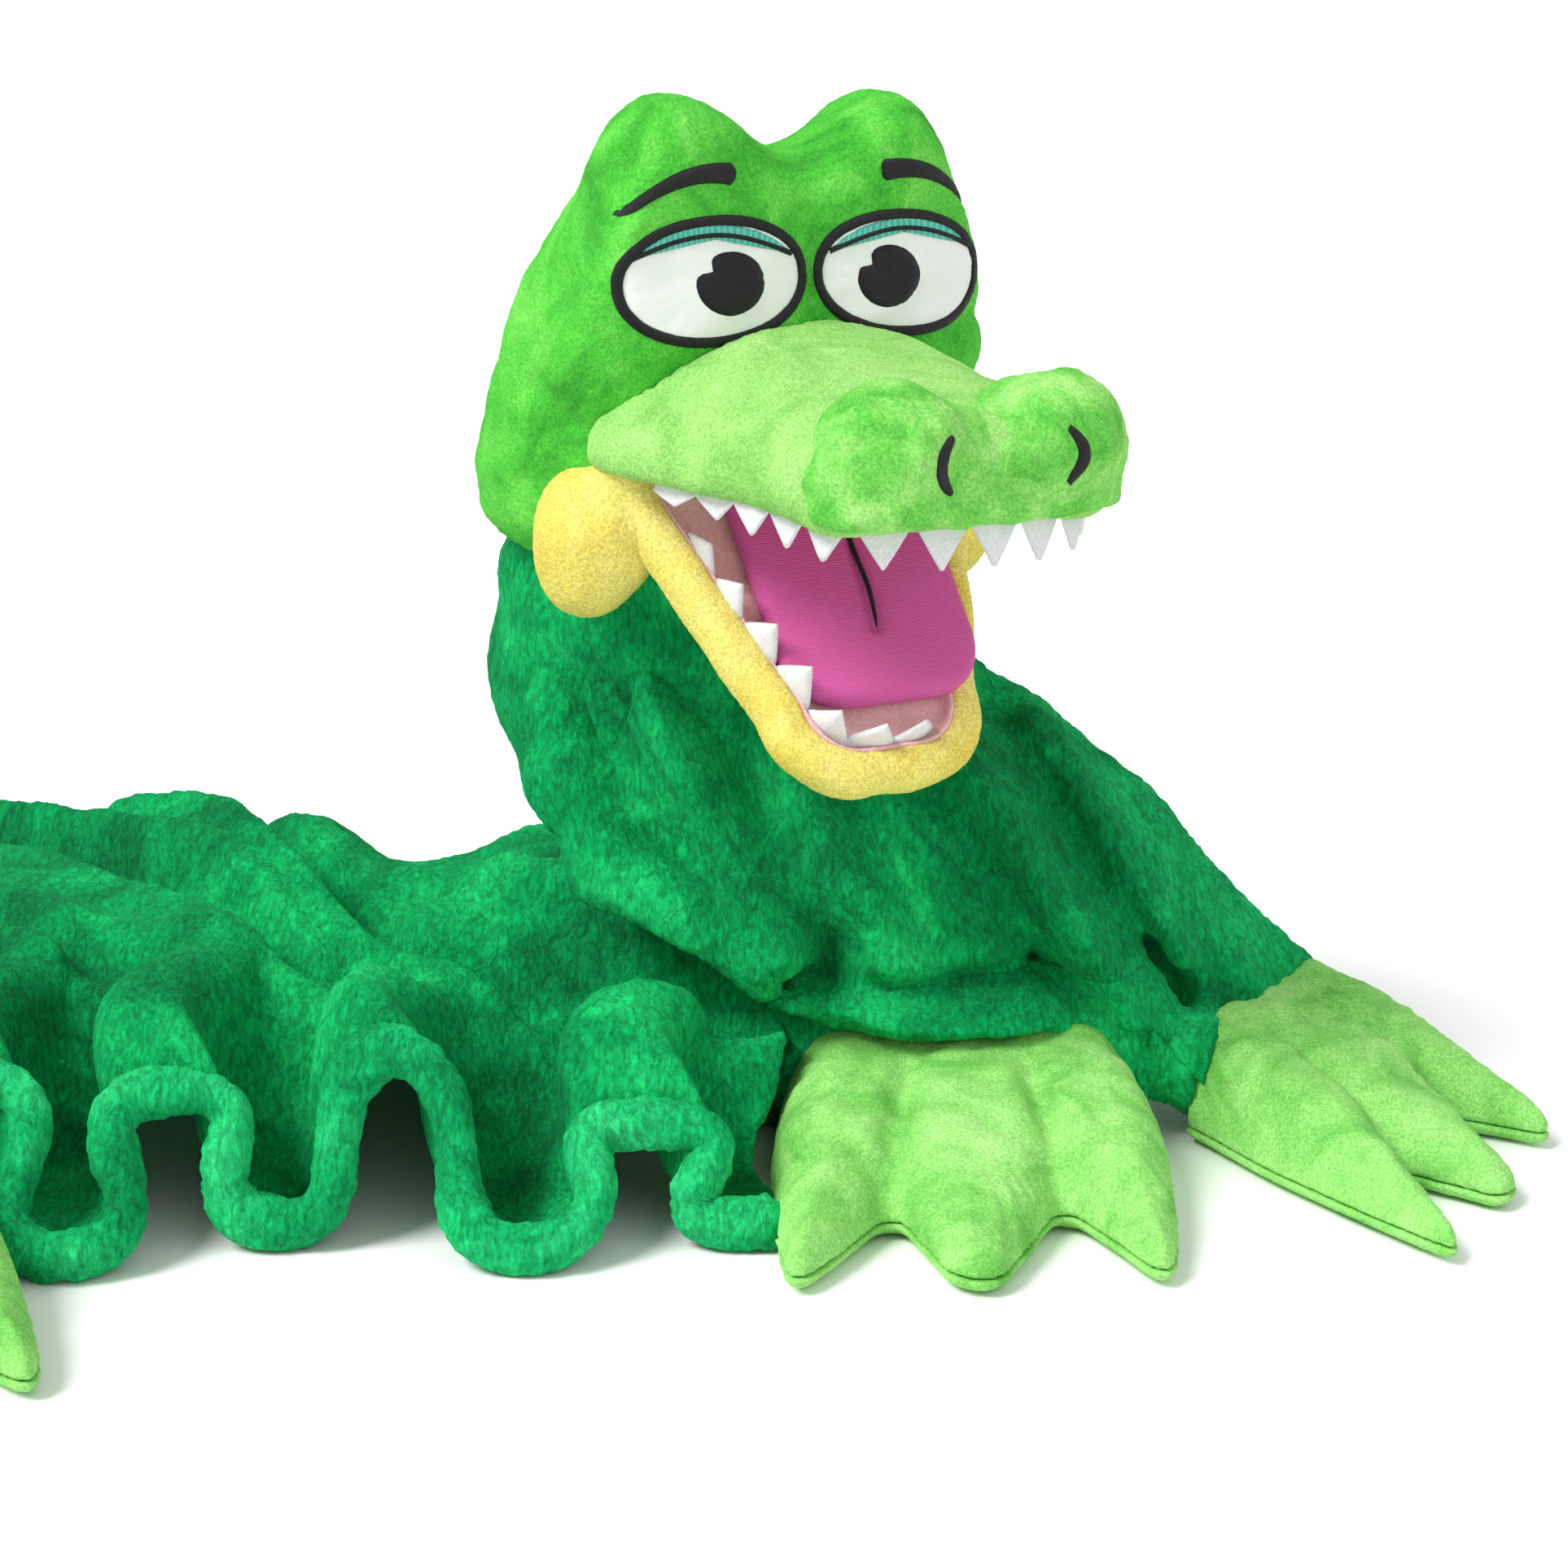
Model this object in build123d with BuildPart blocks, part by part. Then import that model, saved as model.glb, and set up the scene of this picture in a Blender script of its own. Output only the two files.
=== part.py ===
from build123d import *
import os
from math import cos, pi, radians, sin

# Crocodile hand puppet with a moving mouth, sewn to the front of a plush blanket.
# Millimetres. +Z is up and the floor is Z = 0. The blanket trails towards -X and
# the head looks towards -Y, turned to +X.

# ---- driving dimensions ----
HEAD_X = 47.0            # origin of the head frame
HEAD_Y = -10.0
HEAD_TURN = 31.0         # the head looks this far from -Y towards +X
CLOTH = 4.0              # plush with its pile
FELT = 2.0
BOARD = 3.0
THREAD = 1.6             # raised satin stitching
FOLD_R = 3.0             # rolled lining at the mouth hinge
GAP = 0.6                # clearance between pieces that move apart

HINGE_B = -45.0          # mouth hinge, back along the head frame
HINGE_Z = 272.0
JAW_OPEN = 54.0          # how far the lower jaw hangs open at rest

NECK_B = 20.0            # neck axis, back along the head frame
NECK_R = 52.0            # outside of the neck tube
NECK_LOW = 190.0
NECK_TOP = 246.0
ARM_R = 43.0             # clear radius for the wearer's forearm
LINING = 2.0
PALM_B = 14.0            # middle and radius of the room for the palm
PALM_R = 40.0
CLOAK_TOP = 205.0
RECESS_R = 64.0          # room in the head for the neck to bend
HEAD_LOW = 226.0

PAW_W = 140.0
PAW_H = 50.0
SOLE = 4.0
LEG_ROOT_X = -262.0      # where the hind sleeves leave the blanket
LEG_ROOT_Y = 96.0
LEG_ROOT_W = 110.0
HEM_W = 16.0
HEM_H = 58.0

# skull sections: height, half width, middle and half depth along the head frame
SKULL = [
    (226.0, 80.0, 17.0, 55.0),
    (262.0, 96.0, 18.0, 66.0),
    (300.0, 90.0, 7.0, 59.0),
    (338.0, 81.0, -6.0, 48.0),
    (370.0, 70.0, -20.0, 33.0),
    (386.0, 44.0, -25.0, 17.0),
]
# cloak sections: height, middle x, middle y, half width, half depth
CLOAK = [
    (0.0, 42.0, 50.0, 112.0, 97.0),
    (70.0, 42.0, 40.0, 106.0, 88.0),
    (140.0, 38.0, 22.0, 96.0, 76.0),
]
# blanket sections: x, near edge y, ridge y, ridge height, far edge y
BLANKET = [
    (-322.0, -70.0, 40.0, 50.0, 110.0),
    (-270.0, -106.0, 60.0, 100.0, 146.0),
    (-160.0, -122.0, 66.0, 108.0, 150.0),
    (-60.0, -122.0, 56.0, 98.0, 150.0),
    (30.0, -96.0, 50.0, 90.0, 140.0),
]
# paws: name, cuff middle x and y, direction from -Y towards +X, length, sideways lean of
# the toes, and -1 for a mirrored outline
PAWS = [
    ("near_front", 134.0, -55.0, 0.0, 155.0, 0.0, 1),
    ("far_front", 260.6, 0.0, 60.0, 130.0, -0.54, 1),
    ("near_hind", -294.0, -184.0, 25.0, 155.0, 0.0, 1),
    ("far_hind", -294.0, 184.0, 155.0, 155.0, 0.0, -1),
]
EYE_S = 40.0             # eye centres either side of the middle
EYE_Z = 338.0
EYE_HALF_W = 39.0
EYE_HALF_H = 24.0
EYE_LINE = 5.0
FACE_B = -56.0           # front of the felt eyes

S_DIR = (cos(radians(HEAD_TURN)), sin(radians(HEAD_TURN)), 0)
B_DIR = (-sin(radians(HEAD_TURN)), cos(radians(HEAD_TURN)), 0)


# ---- frames ----
def head_point(s, b, z):
    """A point given across, back and up in the head frame."""
    return (HEAD_X + s * S_DIR[0] + b * B_DIR[0], HEAD_Y + s * S_DIR[1] + b * B_DIR[1], z)


def head_top(z):
    """Level plane: x across the head, y back, normal up."""
    return Plane(origin=head_point(0, 0, z), x_dir=S_DIR, z_dir=(0, 0, 1))


def head_side(s=0.0):
    """Upright plane along the head: x back, y up, normal across."""
    return Plane(origin=head_point(s, 0, 0), x_dir=B_DIR, z_dir=S_DIR)


def head_front(b):
    """Upright plane across the head: x across, y up, normal forward."""
    forward = (-B_DIR[0], -B_DIR[1], 0)
    return Plane(origin=head_point(0, b, 0), x_dir=S_DIR, z_dir=forward)


def jaw_plane(height):
    """Plane of the lower jaw: x across, y back to the hinge, normal into the mouth."""
    a = radians(JAW_OPEN)
    up = (-B_DIR[0] * sin(a), -B_DIR[1] * sin(a), cos(a))
    hinge = head_point(0, HINGE_B, HINGE_Z)
    origin = tuple(h + height * n for h, n in zip(hinge, up))
    return Plane(origin=origin, x_dir=S_DIR, z_dir=up)


def paw_top(x, y, angle, z=0.0):
    """Level plane at a paw's cuff: x across, y back, normal up."""
    a = radians(angle)
    return Plane(origin=(x, y, z), x_dir=(cos(a), sin(a), 0), z_dir=(0, 0, 1))


def paw_side(x, y, angle):
    """Upright plane along a paw: x back, y up, normal across."""
    a = radians(angle)
    return Plane(origin=(x, y, 0), x_dir=(-sin(a), cos(a), 0), z_dir=(cos(a), sin(a), 0))


def write(part, name):
    part.label = name
    export_step(part, "parts/" + name + ".step")


# ---- plan outlines ----
def snout_outline(inset):
    """Hull of circles: wide at the mouth corners, round at the nose."""
    for side in (-1, 1):
        for s, b, r in ((56, -70, 26), (40, -154, 26)):
            with Locations((side * s, b)):
                Circle(r - inset)
    make_hull()


def jaw_outline(inset):
    """Hull of circles in the jaw plane, hinge end at the top."""
    for side in (-1, 1):
        for s, j, r in ((56, -26, 22), (30, -102, 29)):
            with Locations((side * s, j)):
                Circle(r - inset)
    make_hull()


def tongue_outline(inset):
    for s, j, r in ((-26, -28, 18), (36, -28, 18), (-4, -78, 24), (19, -78, 24)):
        with Locations((s, j)):
            Circle(r - inset)
    make_hull()


def paw_outline(inset, length, lean, hand):
    """Palm and three pointed toes, as shares of the half width and the length."""
    half = PAW_W / 2
    shape = [
        (-1.0, 0.0), (-1.06, 0.35), (-1.0, 0.9), (-0.88, 0.96), (-0.44, 0.64), (-0.16, 0.96),
        (0.08, 0.97), (0.46, 0.6), (0.86, 0.92), (1.0, 0.84), (1.08, 0.35), (1.0, 0.0),
    ]
    points = [(hand * half * u + lean * length * v, -length * v) for u, v in shape]
    Polygon(*points, align=None)
    if inset:
        offset(amount=-inset, kind=Kind.INTERSECTION, mode=Mode.REPLACE)


# ---- shared volumes ----
def skull_volume(inset):
    with BuildPart() as volume:
        for z, half_w, middle, half_d in SKULL:
            top = z - inset * 0.8 * (z > 330) + inset * 0.6 * (z < 240)
            with BuildSketch(head_top(top)):
                with Locations((0, middle)):
                    w, d = 2 * (half_w - inset), 2 * (half_d - inset)
                    RectangleRounded(w, d, min(w, d) * 0.42)
        loft()
        for side in (-1, 1):
            with BuildSketch(head_front(-26)):
                with Locations((side * 42, 372)):
                    Circle(30 - inset)
            extrude(amount=22 - inset, both=True)
    return volume.part


def snout_volume(inset, low):
    """Plan outline cut to the side profile: high at the eyes, low at the nose."""
    with BuildPart() as volume:
        with BuildSketch(head_top(low)):
            snout_outline(inset)
        extrude(amount=80)
        with BuildSketch(head_side(-100)):
            profile = [(-40, low), (-40, 322), (-76, 320), (-120, 308), (-150, 298), (-182, 292)]
            Polygon(*[(b, z - inset) for b, z in profile], (-182, low), (-40, low - 0.01), align=None)
        extrude(amount=200, mode=Mode.INTERSECT)
    return volume.part


def hand_room(grow):
    """The space the hand fills in the head: palm, and fingers over the upper board."""
    with BuildPart() as room:
        with BuildSketch(head_top(262 - grow)):
            with Locations((0, PALM_B)):
                Circle(PALM_R + grow)
        extrude(amount=36 + 2 * grow)
        with BuildSketch(head_top(280 - grow)):
            with Locations((0, -17)):
                RectangleRounded(76 + 2 * grow, 50, 6)
        extrude(amount=18 + 2 * grow)
    return room.part


def jaw_bay():
    """Room below the hinge for the back of the lower jaw."""
    with BuildPart() as bay:
        with BuildSketch(head_side(-120)):
            Polygon((-130, 200), (-24, 200), (-24, 262), (-45, 262), (-130, 269), align=None)
            with Locations((HINGE_B, HINGE_Z)):
                Circle(23)
            with Locations((-70, 291)):
                Rectangle(140, 40, mode=Mode.SUBTRACT)
        extrude(amount=240)
    return bay.part


def fold_volume(radius):
    """Along the mouth hinge, where the lining rolls round."""
    with BuildPart() as fold:
        with BuildSketch(head_side(-66)):
            with Locations((HINGE_B, HINGE_Z)):
                Circle(radius)
        extrude(amount=132)
    return fold.part


def neck_recess():
    with BuildPart() as recess:
        with BuildSketch(head_top(HEAD_LOW - 10)):
            with Locations((0, NECK_B)):
                Circle(RECESS_R)
        extrude(amount=262 - HEAD_LOW + 10 - LINING)
    return recess.part


def cloak_volume(inset):
    with BuildPart() as volume:
        for z, x, y, half_w, half_d in CLOAK:
            with BuildSketch(Plane((x, y, z))):
                Ellipse(half_w - inset, half_d - inset)
        x, y, z = head_point(0, NECK_B, CLOAK_TOP)
        with BuildSketch(Plane((x, y, z))):
            Ellipse(66 - inset, 65.9 - inset)
        loft()
    return volume.part


def blanket_volume(inset):
    with BuildPart() as volume:
        for x, near, ridge, high, far in BLANKET:
            top = high - inset
            start, end = near + inset, far - inset
            shoulder = start + (ridge - start) * 0.45
            back = ridge + (end - ridge) * 0.55
            with BuildSketch(Plane(origin=(x + inset * (x < -300), 0, 0), x_dir=(0, 1, 0), z_dir=(1, 0, 0))):
                with BuildLine():
                    Spline((start, 0), (shoulder, top * 0.6), (ridge, top), (back, top * 0.7), (end, 0))
                    Line((end, 0), (start, 0))
                make_face()
        loft()
    return volume.part


os.makedirs("parts", exist_ok=True)
skull = skull_volume(0)
skull_in = skull_volume(CLOTH)
snout = snout_volume(0, 270)
room = hand_room(LINING)
bay = jaw_bay()
recess = neck_recess()
fold_room = fold_volume(FOLD_R + 0.2)


# ---- head: skull ----
def make_head_cover():
    with BuildPart() as cover:
        add(skull)
        add(skull_in, mode=Mode.SUBTRACT)
        add(bay, mode=Mode.SUBTRACT)
        add(recess, mode=Mode.SUBTRACT)
        add(fold_room, mode=Mode.SUBTRACT)
        with BuildSketch(head_front(-20)):
            with Locations((0, 289)):
                Rectangle(72, 20)
        extrude(amount=60, mode=Mode.SUBTRACT)
    write(cover.part, "head_cover")


def make_head_stuffing():
    with BuildPart() as filling:
        add(skull_in)
        add(room, mode=Mode.SUBTRACT)
        add(bay, mode=Mode.SUBTRACT)
        add(recess, mode=Mode.SUBTRACT)
        add(fold_room, mode=Mode.SUBTRACT)
    write(filling.part, "head_stuffing")


def make_head_lining():
    with BuildPart() as lining:
        add(room)
        add(hand_room(0), mode=Mode.SUBTRACT)
        add(bay, mode=Mode.SUBTRACT)
        add(recess, mode=Mode.SUBTRACT)
        with BuildSketch(head_top(250)):
            with Locations((0, PALM_B)):
                Circle(PALM_R)
        extrude(amount=20, mode=Mode.SUBTRACT)
    write(lining.part, "head_lining")


# ---- head: snout and upper mouth ----
def make_snout_cover():
    with BuildPart() as cover:
        add(snout)
        add(snout_volume(CLOTH, 278), mode=Mode.SUBTRACT)
        with BuildSketch(head_top(269)):
            snout_outline(CLOTH)
        extrude(amount=10, mode=Mode.SUBTRACT)
        add(skull, mode=Mode.SUBTRACT)
        add(fold_room, mode=Mode.SUBTRACT)
    write(cover.part, "snout_cover")


def make_snout_stuffing():
    with BuildPart() as filling:
        add(snout_volume(CLOTH, 278))
        add(skull, mode=Mode.SUBTRACT)
        with BuildSketch(head_top(278)):
            with Locations((0, -90)):
                RectangleRounded(80, 96, 10)
        extrude(amount=19, mode=Mode.SUBTRACT)
    write(filling.part, "snout_stuffing")


def make_finger_pocket():
    """Open towards the hand, closed over the fingertips."""
    with BuildPart() as pocket:
        with BuildSketch(head_top(278)):
            with Locations((0, -90)):
                RectangleRounded(80, 96, 10)
        extrude(amount=19)
        with BuildSketch(head_top(278 + LINING)):
            with Locations((0, -86)):
                RectangleRounded(80 - 2 * LINING, 100, 8)
        extrude(amount=19 - 2 * LINING, mode=Mode.SUBTRACT)
        add(skull, mode=Mode.SUBTRACT)
    write(pocket.part, "finger_pocket")


def make_upper_layers():
    for name, low, thick in (("upper_mouth_board", 275, BOARD), ("upper_mouth_lining", 273.4, 1.6)):
        with BuildPart() as layer:
            with BuildSketch(head_top(low)):
                snout_outline(CLOTH)
            extrude(amount=thick)
            with BuildSketch(head_top(low)):
                with Locations((0, -20)):
                    Rectangle(200, 50)
            extrude(amount=thick, mode=Mode.SUBTRACT)
            add(skull, mode=Mode.SUBTRACT)
        write(layer.part, name)


def make_upper_teeth():
    """Felt strip sewn inside the upper lip: its points grow longer towards the nose."""
    with BuildPart() as teeth:
        with BuildSketch(head_top(255)):
            snout_outline(CLOTH)
            with BuildSketch(mode=Mode.PRIVATE) as hole:
                snout_outline(CLOTH + FELT)
            add(hole.sketch, mode=Mode.SUBTRACT)
        extrude(amount=18.4)
        with BuildSketch(head_front(-200)):
            for tooth in range(-4, 5):
                middle, half = tooth * 14, 7
                Polygon((middle - half, 254), (middle + half, 254), (middle + half, 268),
                        (middle, 255), (middle - half, 268), align=None)
        extrude(amount=-66, mode=Mode.SUBTRACT)
        with BuildSketch(head_side(-120)):
            Polygon((-40, 254), (-40, 273.4), (-72, 273.4), (-72, 254), align=None)
            for tooth, tip in enumerate((265, 260, 257, 255.5)):
                back, front = -72 - tooth * 16, -88 - tooth * 16
                middle = (back + front) / 2
                Polygon((back, 254), (front, 254), (front, 269), (middle, tip), (back, 269), align=None)
        extrude(amount=240, mode=Mode.SUBTRACT)
    write(teeth.part, "upper_teeth")


def make_nose_pad():
    """Two round lobes on the end of the snout."""
    with BuildPart() as nose:
        for side in (-1, 1):
            with BuildSketch(head_front(-146)):
                with Locations((side * 32, 292)):
                    Ellipse(25, 20)
            extrude(amount=38)
        with BuildSketch(head_front(-150)):
            with Locations((0, 286)):
                RectangleRounded(70, 26, 6)
        extrude(amount=34)
        add(snout, mode=Mode.SUBTRACT)
    write(nose.part, "nose_pad")


def make_nostrils():
    for side, name in ((-1, "right_nostril"), (1, "left_nostril")):
        with BuildPart() as nostril:
            with BuildSketch(head_front(-184)):
                with Locations((side * 27, 286)):
                    Ellipse(3, 8.5)
            extrude(amount=THREAD)
        write(nostril.part, name)


# ---- head: face ----
def face_piece(name, draw, level):
    """A flat sewn piece standing in front of the forehead."""
    with BuildPart() as piece:
        with BuildSketch(head_front(FACE_B + 2 - level)):
            draw()
        extrude(amount=THREAD)
        add(skull, mode=Mode.SUBTRACT)
        add(snout, mode=Mode.SUBTRACT)
    write(piece.part, name)


def make_eyes():
    pupil_z = EYE_Z - 2
    for side, name in ((-1, "right"), (1, "left")):
        middle = side * EYE_S

        def white():
            with Locations((middle, EYE_Z)):
                Ellipse(EYE_HALF_W - EYE_LINE, EYE_HALF_H - EYE_LINE)
            lid(Mode.SUBTRACT)
            pupil(Mode.SUBTRACT)

        def lid(mode=Mode.ADD):
            with BuildSketch(mode=Mode.PRIVATE) as crescent:
                with Locations((middle, EYE_Z)):
                    Ellipse(EYE_HALF_W - EYE_LINE, EYE_HALF_H - EYE_LINE)
                with Locations((middle, EYE_Z - 20)):
                    Ellipse(70, 32, mode=Mode.SUBTRACT)
            add(crescent.sketch, mode=mode)

        def pupil(mode=Mode.ADD):
            with Locations((side * EYE_S - side * 6, pupil_z)):
                Circle(11.5, mode=mode)

        def outline():
            with Locations((middle, EYE_Z)):
                Ellipse(EYE_HALF_W, EYE_HALF_H)
                Ellipse(EYE_HALF_W - EYE_LINE, EYE_HALF_H - EYE_LINE, mode=Mode.SUBTRACT)

        def brow():
            with Locations((side * 52, 371)):
                with Locations(Rotation(0, 0, -side * 18)):
                    Ellipse(23, 4)

        face_piece(name + "_eye_white", white, 0)
        face_piece(name + "_eyelid", lid, 0)
        face_piece(name + "_pupil", pupil, 0)
        face_piece(name + "_eye_outline", outline, 0)
        face_piece(name + "_eyebrow", brow, 0)


def make_cheeks():
    """Round yellow cushions behind the mouth corners."""
    for side, name in ((-1, "right_cheek"), (1, "left_cheek")):
        with BuildPart() as cheek:
            with BuildSketch(head_front(-22)):
                with Locations((side * 80, 243)):
                    Ellipse(19, 21)
            extrude(amount=12)
            with BuildSketch(head_front(-22)):
                with Locations((side * 80, 243)):
                    Ellipse(19, 21)
            extrude(amount=-26)
            add(skull, mode=Mode.SUBTRACT)
            with BuildSketch(head_side(-120)):
                with Locations((HINGE_B, HINGE_Z)):
                    Circle(25)
            extrude(amount=240, mode=Mode.SUBTRACT)
        write(cheek.part, name)


def make_mouth_fold():
    write(fold_volume(FOLD_R), "mouth_fold")


# ---- lower jaw ----
RIM_TOP = -3.0
JAW_FLOOR = -9.0
JAW_LOW = -21.0


def jaw_layer(outline, inset, low, high):
    with BuildPart() as layer:
        with BuildSketch(jaw_plane(low)):
            outline(inset)
        extrude(amount=high - low)
    return layer.part


def thumb_volume(grow, back):
    with BuildPart() as thumb:
        with BuildSketch(jaw_plane(-13 - 3.5 - grow)):
            with Locations((0, -52 + back)):
                RectangleRounded(44 + 2 * grow, 88 + 2 * grow, 6)
        extrude(amount=2 * grow + 4.5)
    return thumb.part


def make_jaw():
    tray = 14.0
    with BuildPart() as cover:
        add(jaw_layer(jaw_outline, 0, JAW_LOW, RIM_TOP))
        add(jaw_layer(jaw_outline, tray, JAW_FLOOR, 0), mode=Mode.SUBTRACT)
        add(jaw_layer(jaw_outline, CLOTH, JAW_LOW + CLOTH, JAW_FLOOR - CLOTH + 1), mode=Mode.SUBTRACT)
        add(jaw_layer(jaw_outline, tray, JAW_FLOOR - CLOTH, 0), mode=Mode.SUBTRACT)
        with BuildSketch(jaw_plane(JAW_FLOOR)):
            with Locations((0, -10)):
                Rectangle(124, 40)
        extrude(amount=20, mode=Mode.SUBTRACT)
    write(cover.part, "jaw_cover")
    with BuildPart() as filling:
        add(jaw_layer(jaw_outline, CLOTH, JAW_LOW + CLOTH, JAW_FLOOR - CLOTH))
        add(thumb_volume(LINING, 0), mode=Mode.SUBTRACT)
    write(filling.part, "jaw_stuffing")
    write(jaw_layer(jaw_outline, tray, JAW_FLOOR - CLOTH, JAW_FLOOR - 1), "lower_mouth_board")
    write(jaw_layer(jaw_outline, tray, JAW_FLOOR - 1, JAW_FLOOR + 0.6), "lower_mouth_lining")


def make_thumb_pocket():
    with BuildPart() as pocket:
        add(jaw_layer(jaw_outline, CLOTH, JAW_LOW + CLOTH, JAW_FLOOR - CLOTH), mode=Mode.ADD)
        add(thumb_volume(LINING, 0), mode=Mode.INTERSECT)
        add(thumb_volume(0, 4), mode=Mode.SUBTRACT)
    write(pocket.part, "thumb_pocket")


def make_tongue():
    write(jaw_layer(tongue_outline, 0, JAW_FLOOR + 0.6, JAW_FLOOR + 9), "tongue")
    with BuildPart() as stitch:
        with BuildSketch(jaw_plane(JAW_FLOOR + 9)):
            with Locations((8, -50)):
                Rectangle(1.6, 50)
        extrude(amount=0.8)
    write(stitch.part, "tongue_stitch")


def make_lower_teeth():
    """Felt strip standing inside the rim, cut into teeth."""
    with BuildPart() as teeth:
        add(jaw_layer(jaw_outline, 14, JAW_FLOOR + 0.6, 7))
        add(jaw_layer(jaw_outline, 14 + FELT, JAW_FLOOR, 8), mode=Mode.SUBTRACT)
        add(jaw_layer(tongue_outline, -0.4, JAW_FLOOR, 8), mode=Mode.SUBTRACT)
        with BuildSketch(jaw_plane(0)):
            with Locations((0, -10)):
                Rectangle(200, 50)
        extrude(amount=20, both=True, mode=Mode.SUBTRACT)
    write(teeth.part, "lower_teeth")


# ---- neck ----
def tube(plane, outer, inner, height, name):
    with BuildPart() as ring:
        with BuildSketch(plane):
            Circle(outer)
            Circle(inner, mode=Mode.SUBTRACT)
        extrude(amount=height)
    write(ring.part, name)


def make_neck():
    x, y, _ = head_point(0, NECK_B, 0)
    low = Plane((x, y, NECK_LOW))
    tube(low, NECK_R, NECK_R - CLOTH, NECK_TOP - NECK_LOW, "neck_cover")
    tube(low, ARM_R + LINING, ARM_R, NECK_TOP - NECK_LOW, "neck_lining")
    tube(Plane((x, y, 0)), ARM_R + LINING, ARM_R, NECK_LOW - 2, "arm_lining")


# ---- body ----
def make_cloak():
    x, y, _ = head_point(0, NECK_B, 0)
    with BuildPart() as cloak:
        add(cloak_volume(0))
        add(cloak_volume(5), mode=Mode.SUBTRACT)
        with BuildSketch(Plane((x, y, 150))):
            Circle(NECK_R + GAP + 1)
        extrude(amount=80, mode=Mode.SUBTRACT)
    write(cloak.part, "cloak")


def cuff_plane(x, y, angle):
    """Upright plane just behind a paw's cuff, facing the toes."""
    a = radians(angle)
    back = GAP + 0.4
    return Plane(origin=(x - back * sin(a), y + back * cos(a), 0), x_dir=(cos(a), sin(a), 0),
                 z_dir=(sin(a), -cos(a), 0))


def make_arm(name, x, y, angle, root, width, height, keep_clear=()):
    """A flattened sleeve from the cloak to a front paw's cuff."""
    with BuildPart() as arm:
        with BuildSketch(cuff_plane(x, y, angle)):
            with Locations((0, PAW_H / 2)):
                RectangleRounded(PAW_W + 2, PAW_H, 20)
        with BuildSketch(root):
            with Locations((0, height / 2)):
                RectangleRounded(width, height, 20)
        loft()
        add(cloak_volume(0), mode=Mode.SUBTRACT)
        for other in keep_clear:
            add(other, mode=Mode.SUBTRACT)
    write(arm.part, name)
    return arm.part


def make_arms():
    near = Plane(origin=(104, 50, 0), x_dir=(1, 0, 0), z_dir=(0, -1, 0))
    sleeve = make_arm("near_arm_sleeve", *PAWS[0][1:4], near, 110, 72)
    x, y = PAWS[0][1:3]
    length = PAWS[0][4]
    with BuildPart() as paw_room:
        with BuildSketch(Plane((x, y - length / 2, 0))):
            Rectangle(PAW_W * 1.08 + 3, length + 3)
        extrude(amount=PAW_H * 2)
    far = Plane(origin=(90, 40, 0), x_dir=(0.3, 1, 0), z_dir=(1, -0.3, 0))
    make_arm("far_arm_sleeve", *PAWS[1][1:4], far, 90, 165, (sleeve, paw_room.part))


def make_leg(name, x, y, angle, blanket):
    """A short sleeve from the blanket's corner to a hind paw's cuff."""
    side = 1 if y > 0 else -1
    root = Plane(origin=(LEG_ROOT_X, side * LEG_ROOT_Y, 0), x_dir=(-side, 0, 0), z_dir=(0, side, 0))
    with BuildPart() as leg:
        with BuildSketch(cuff_plane(x, y, angle)):
            with Locations((0, PAW_H / 2)):
                RectangleRounded(PAW_W, PAW_H, 20)
        with BuildSketch(root):
            with Locations((0, PAW_H / 2)):
                RectangleRounded(LEG_ROOT_W, PAW_H, 20)
        loft()
        add(blanket, mode=Mode.SUBTRACT)
    write(leg.part.solids().sort_by(SortBy.VOLUME)[-1], name)


def make_blanket():
    with BuildPart() as outer:
        add(blanket_volume(0))
        add(cloak_volume(0), mode=Mode.SUBTRACT)
    whole = outer.part
    with BuildPart() as blanket:
        add(whole)
        add(blanket_volume(6), mode=Mode.SUBTRACT)
    write(blanket.part.solids().sort_by(SortBy.VOLUME)[-1], "blanket")
    make_leg("near_leg_sleeve", *PAWS[2][1:4], whole)
    make_leg("far_leg_sleeve", *PAWS[3][1:4], whole)


def wave(start, end, lobes, depth):
    """Alternating arcs from start to end, swinging either side by depth."""
    dx, dy = (end[0] - start[0]) / lobes, (end[1] - start[1]) / lobes
    length = (dx * dx + dy * dy) ** 0.5
    side = (dy / length, -dx / length)
    for lobe in range(lobes):
        a = (start[0] + dx * lobe, start[1] + dy * lobe)
        b = (a[0] + dx, a[1] + dy)
        swing = depth if lobe % 2 == 0 else -depth
        middle = ((a[0] + b[0]) / 2 + side[0] * swing, (a[1] + b[1]) / 2 + side[1] * swing)
        ThreePointArc(a, middle, b)


def make_hem():
    """Rolled and ruffled edge of the blanket, in three runs between the legs."""
    runs = [
        ((-216, -152), (40, -152), 5, 16),
        ((-348, 96), (-348, -72), 4, 6),
        ((20, 172), (-200, 172), 5, 8),
    ]
    with BuildPart() as hem:
        for start, end, lobes, depth in runs:
            with BuildSketch(Plane.XY):
                with BuildLine():
                    wave(start, end, lobes, depth)
                trace(line_width=HEM_W)
            extrude(amount=HEM_H)
    write(hem.part, "hem_ruffle")


# ---- paws ----
def paw_volume(place, outline, inset, low):
    with BuildPart() as volume:
        with BuildSketch(paw_top(*place, low)):
            paw_outline(inset, *outline)
        extrude(amount=60)
        length = outline[0]
        with BuildSketch(paw_side(*place)):
            top = [(0, PAW_H), (-0.4 * length, PAW_H - 8), (-0.7 * length, 30), (-1.05 * length, 13)]
            points = [(b, z - inset) for b, z in top]
            Polygon(*points, (-1.05 * length, low), (0, low), align=None)
        extrude(amount=2 * PAW_W, both=True, mode=Mode.INTERSECT)
    return volume.part


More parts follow.
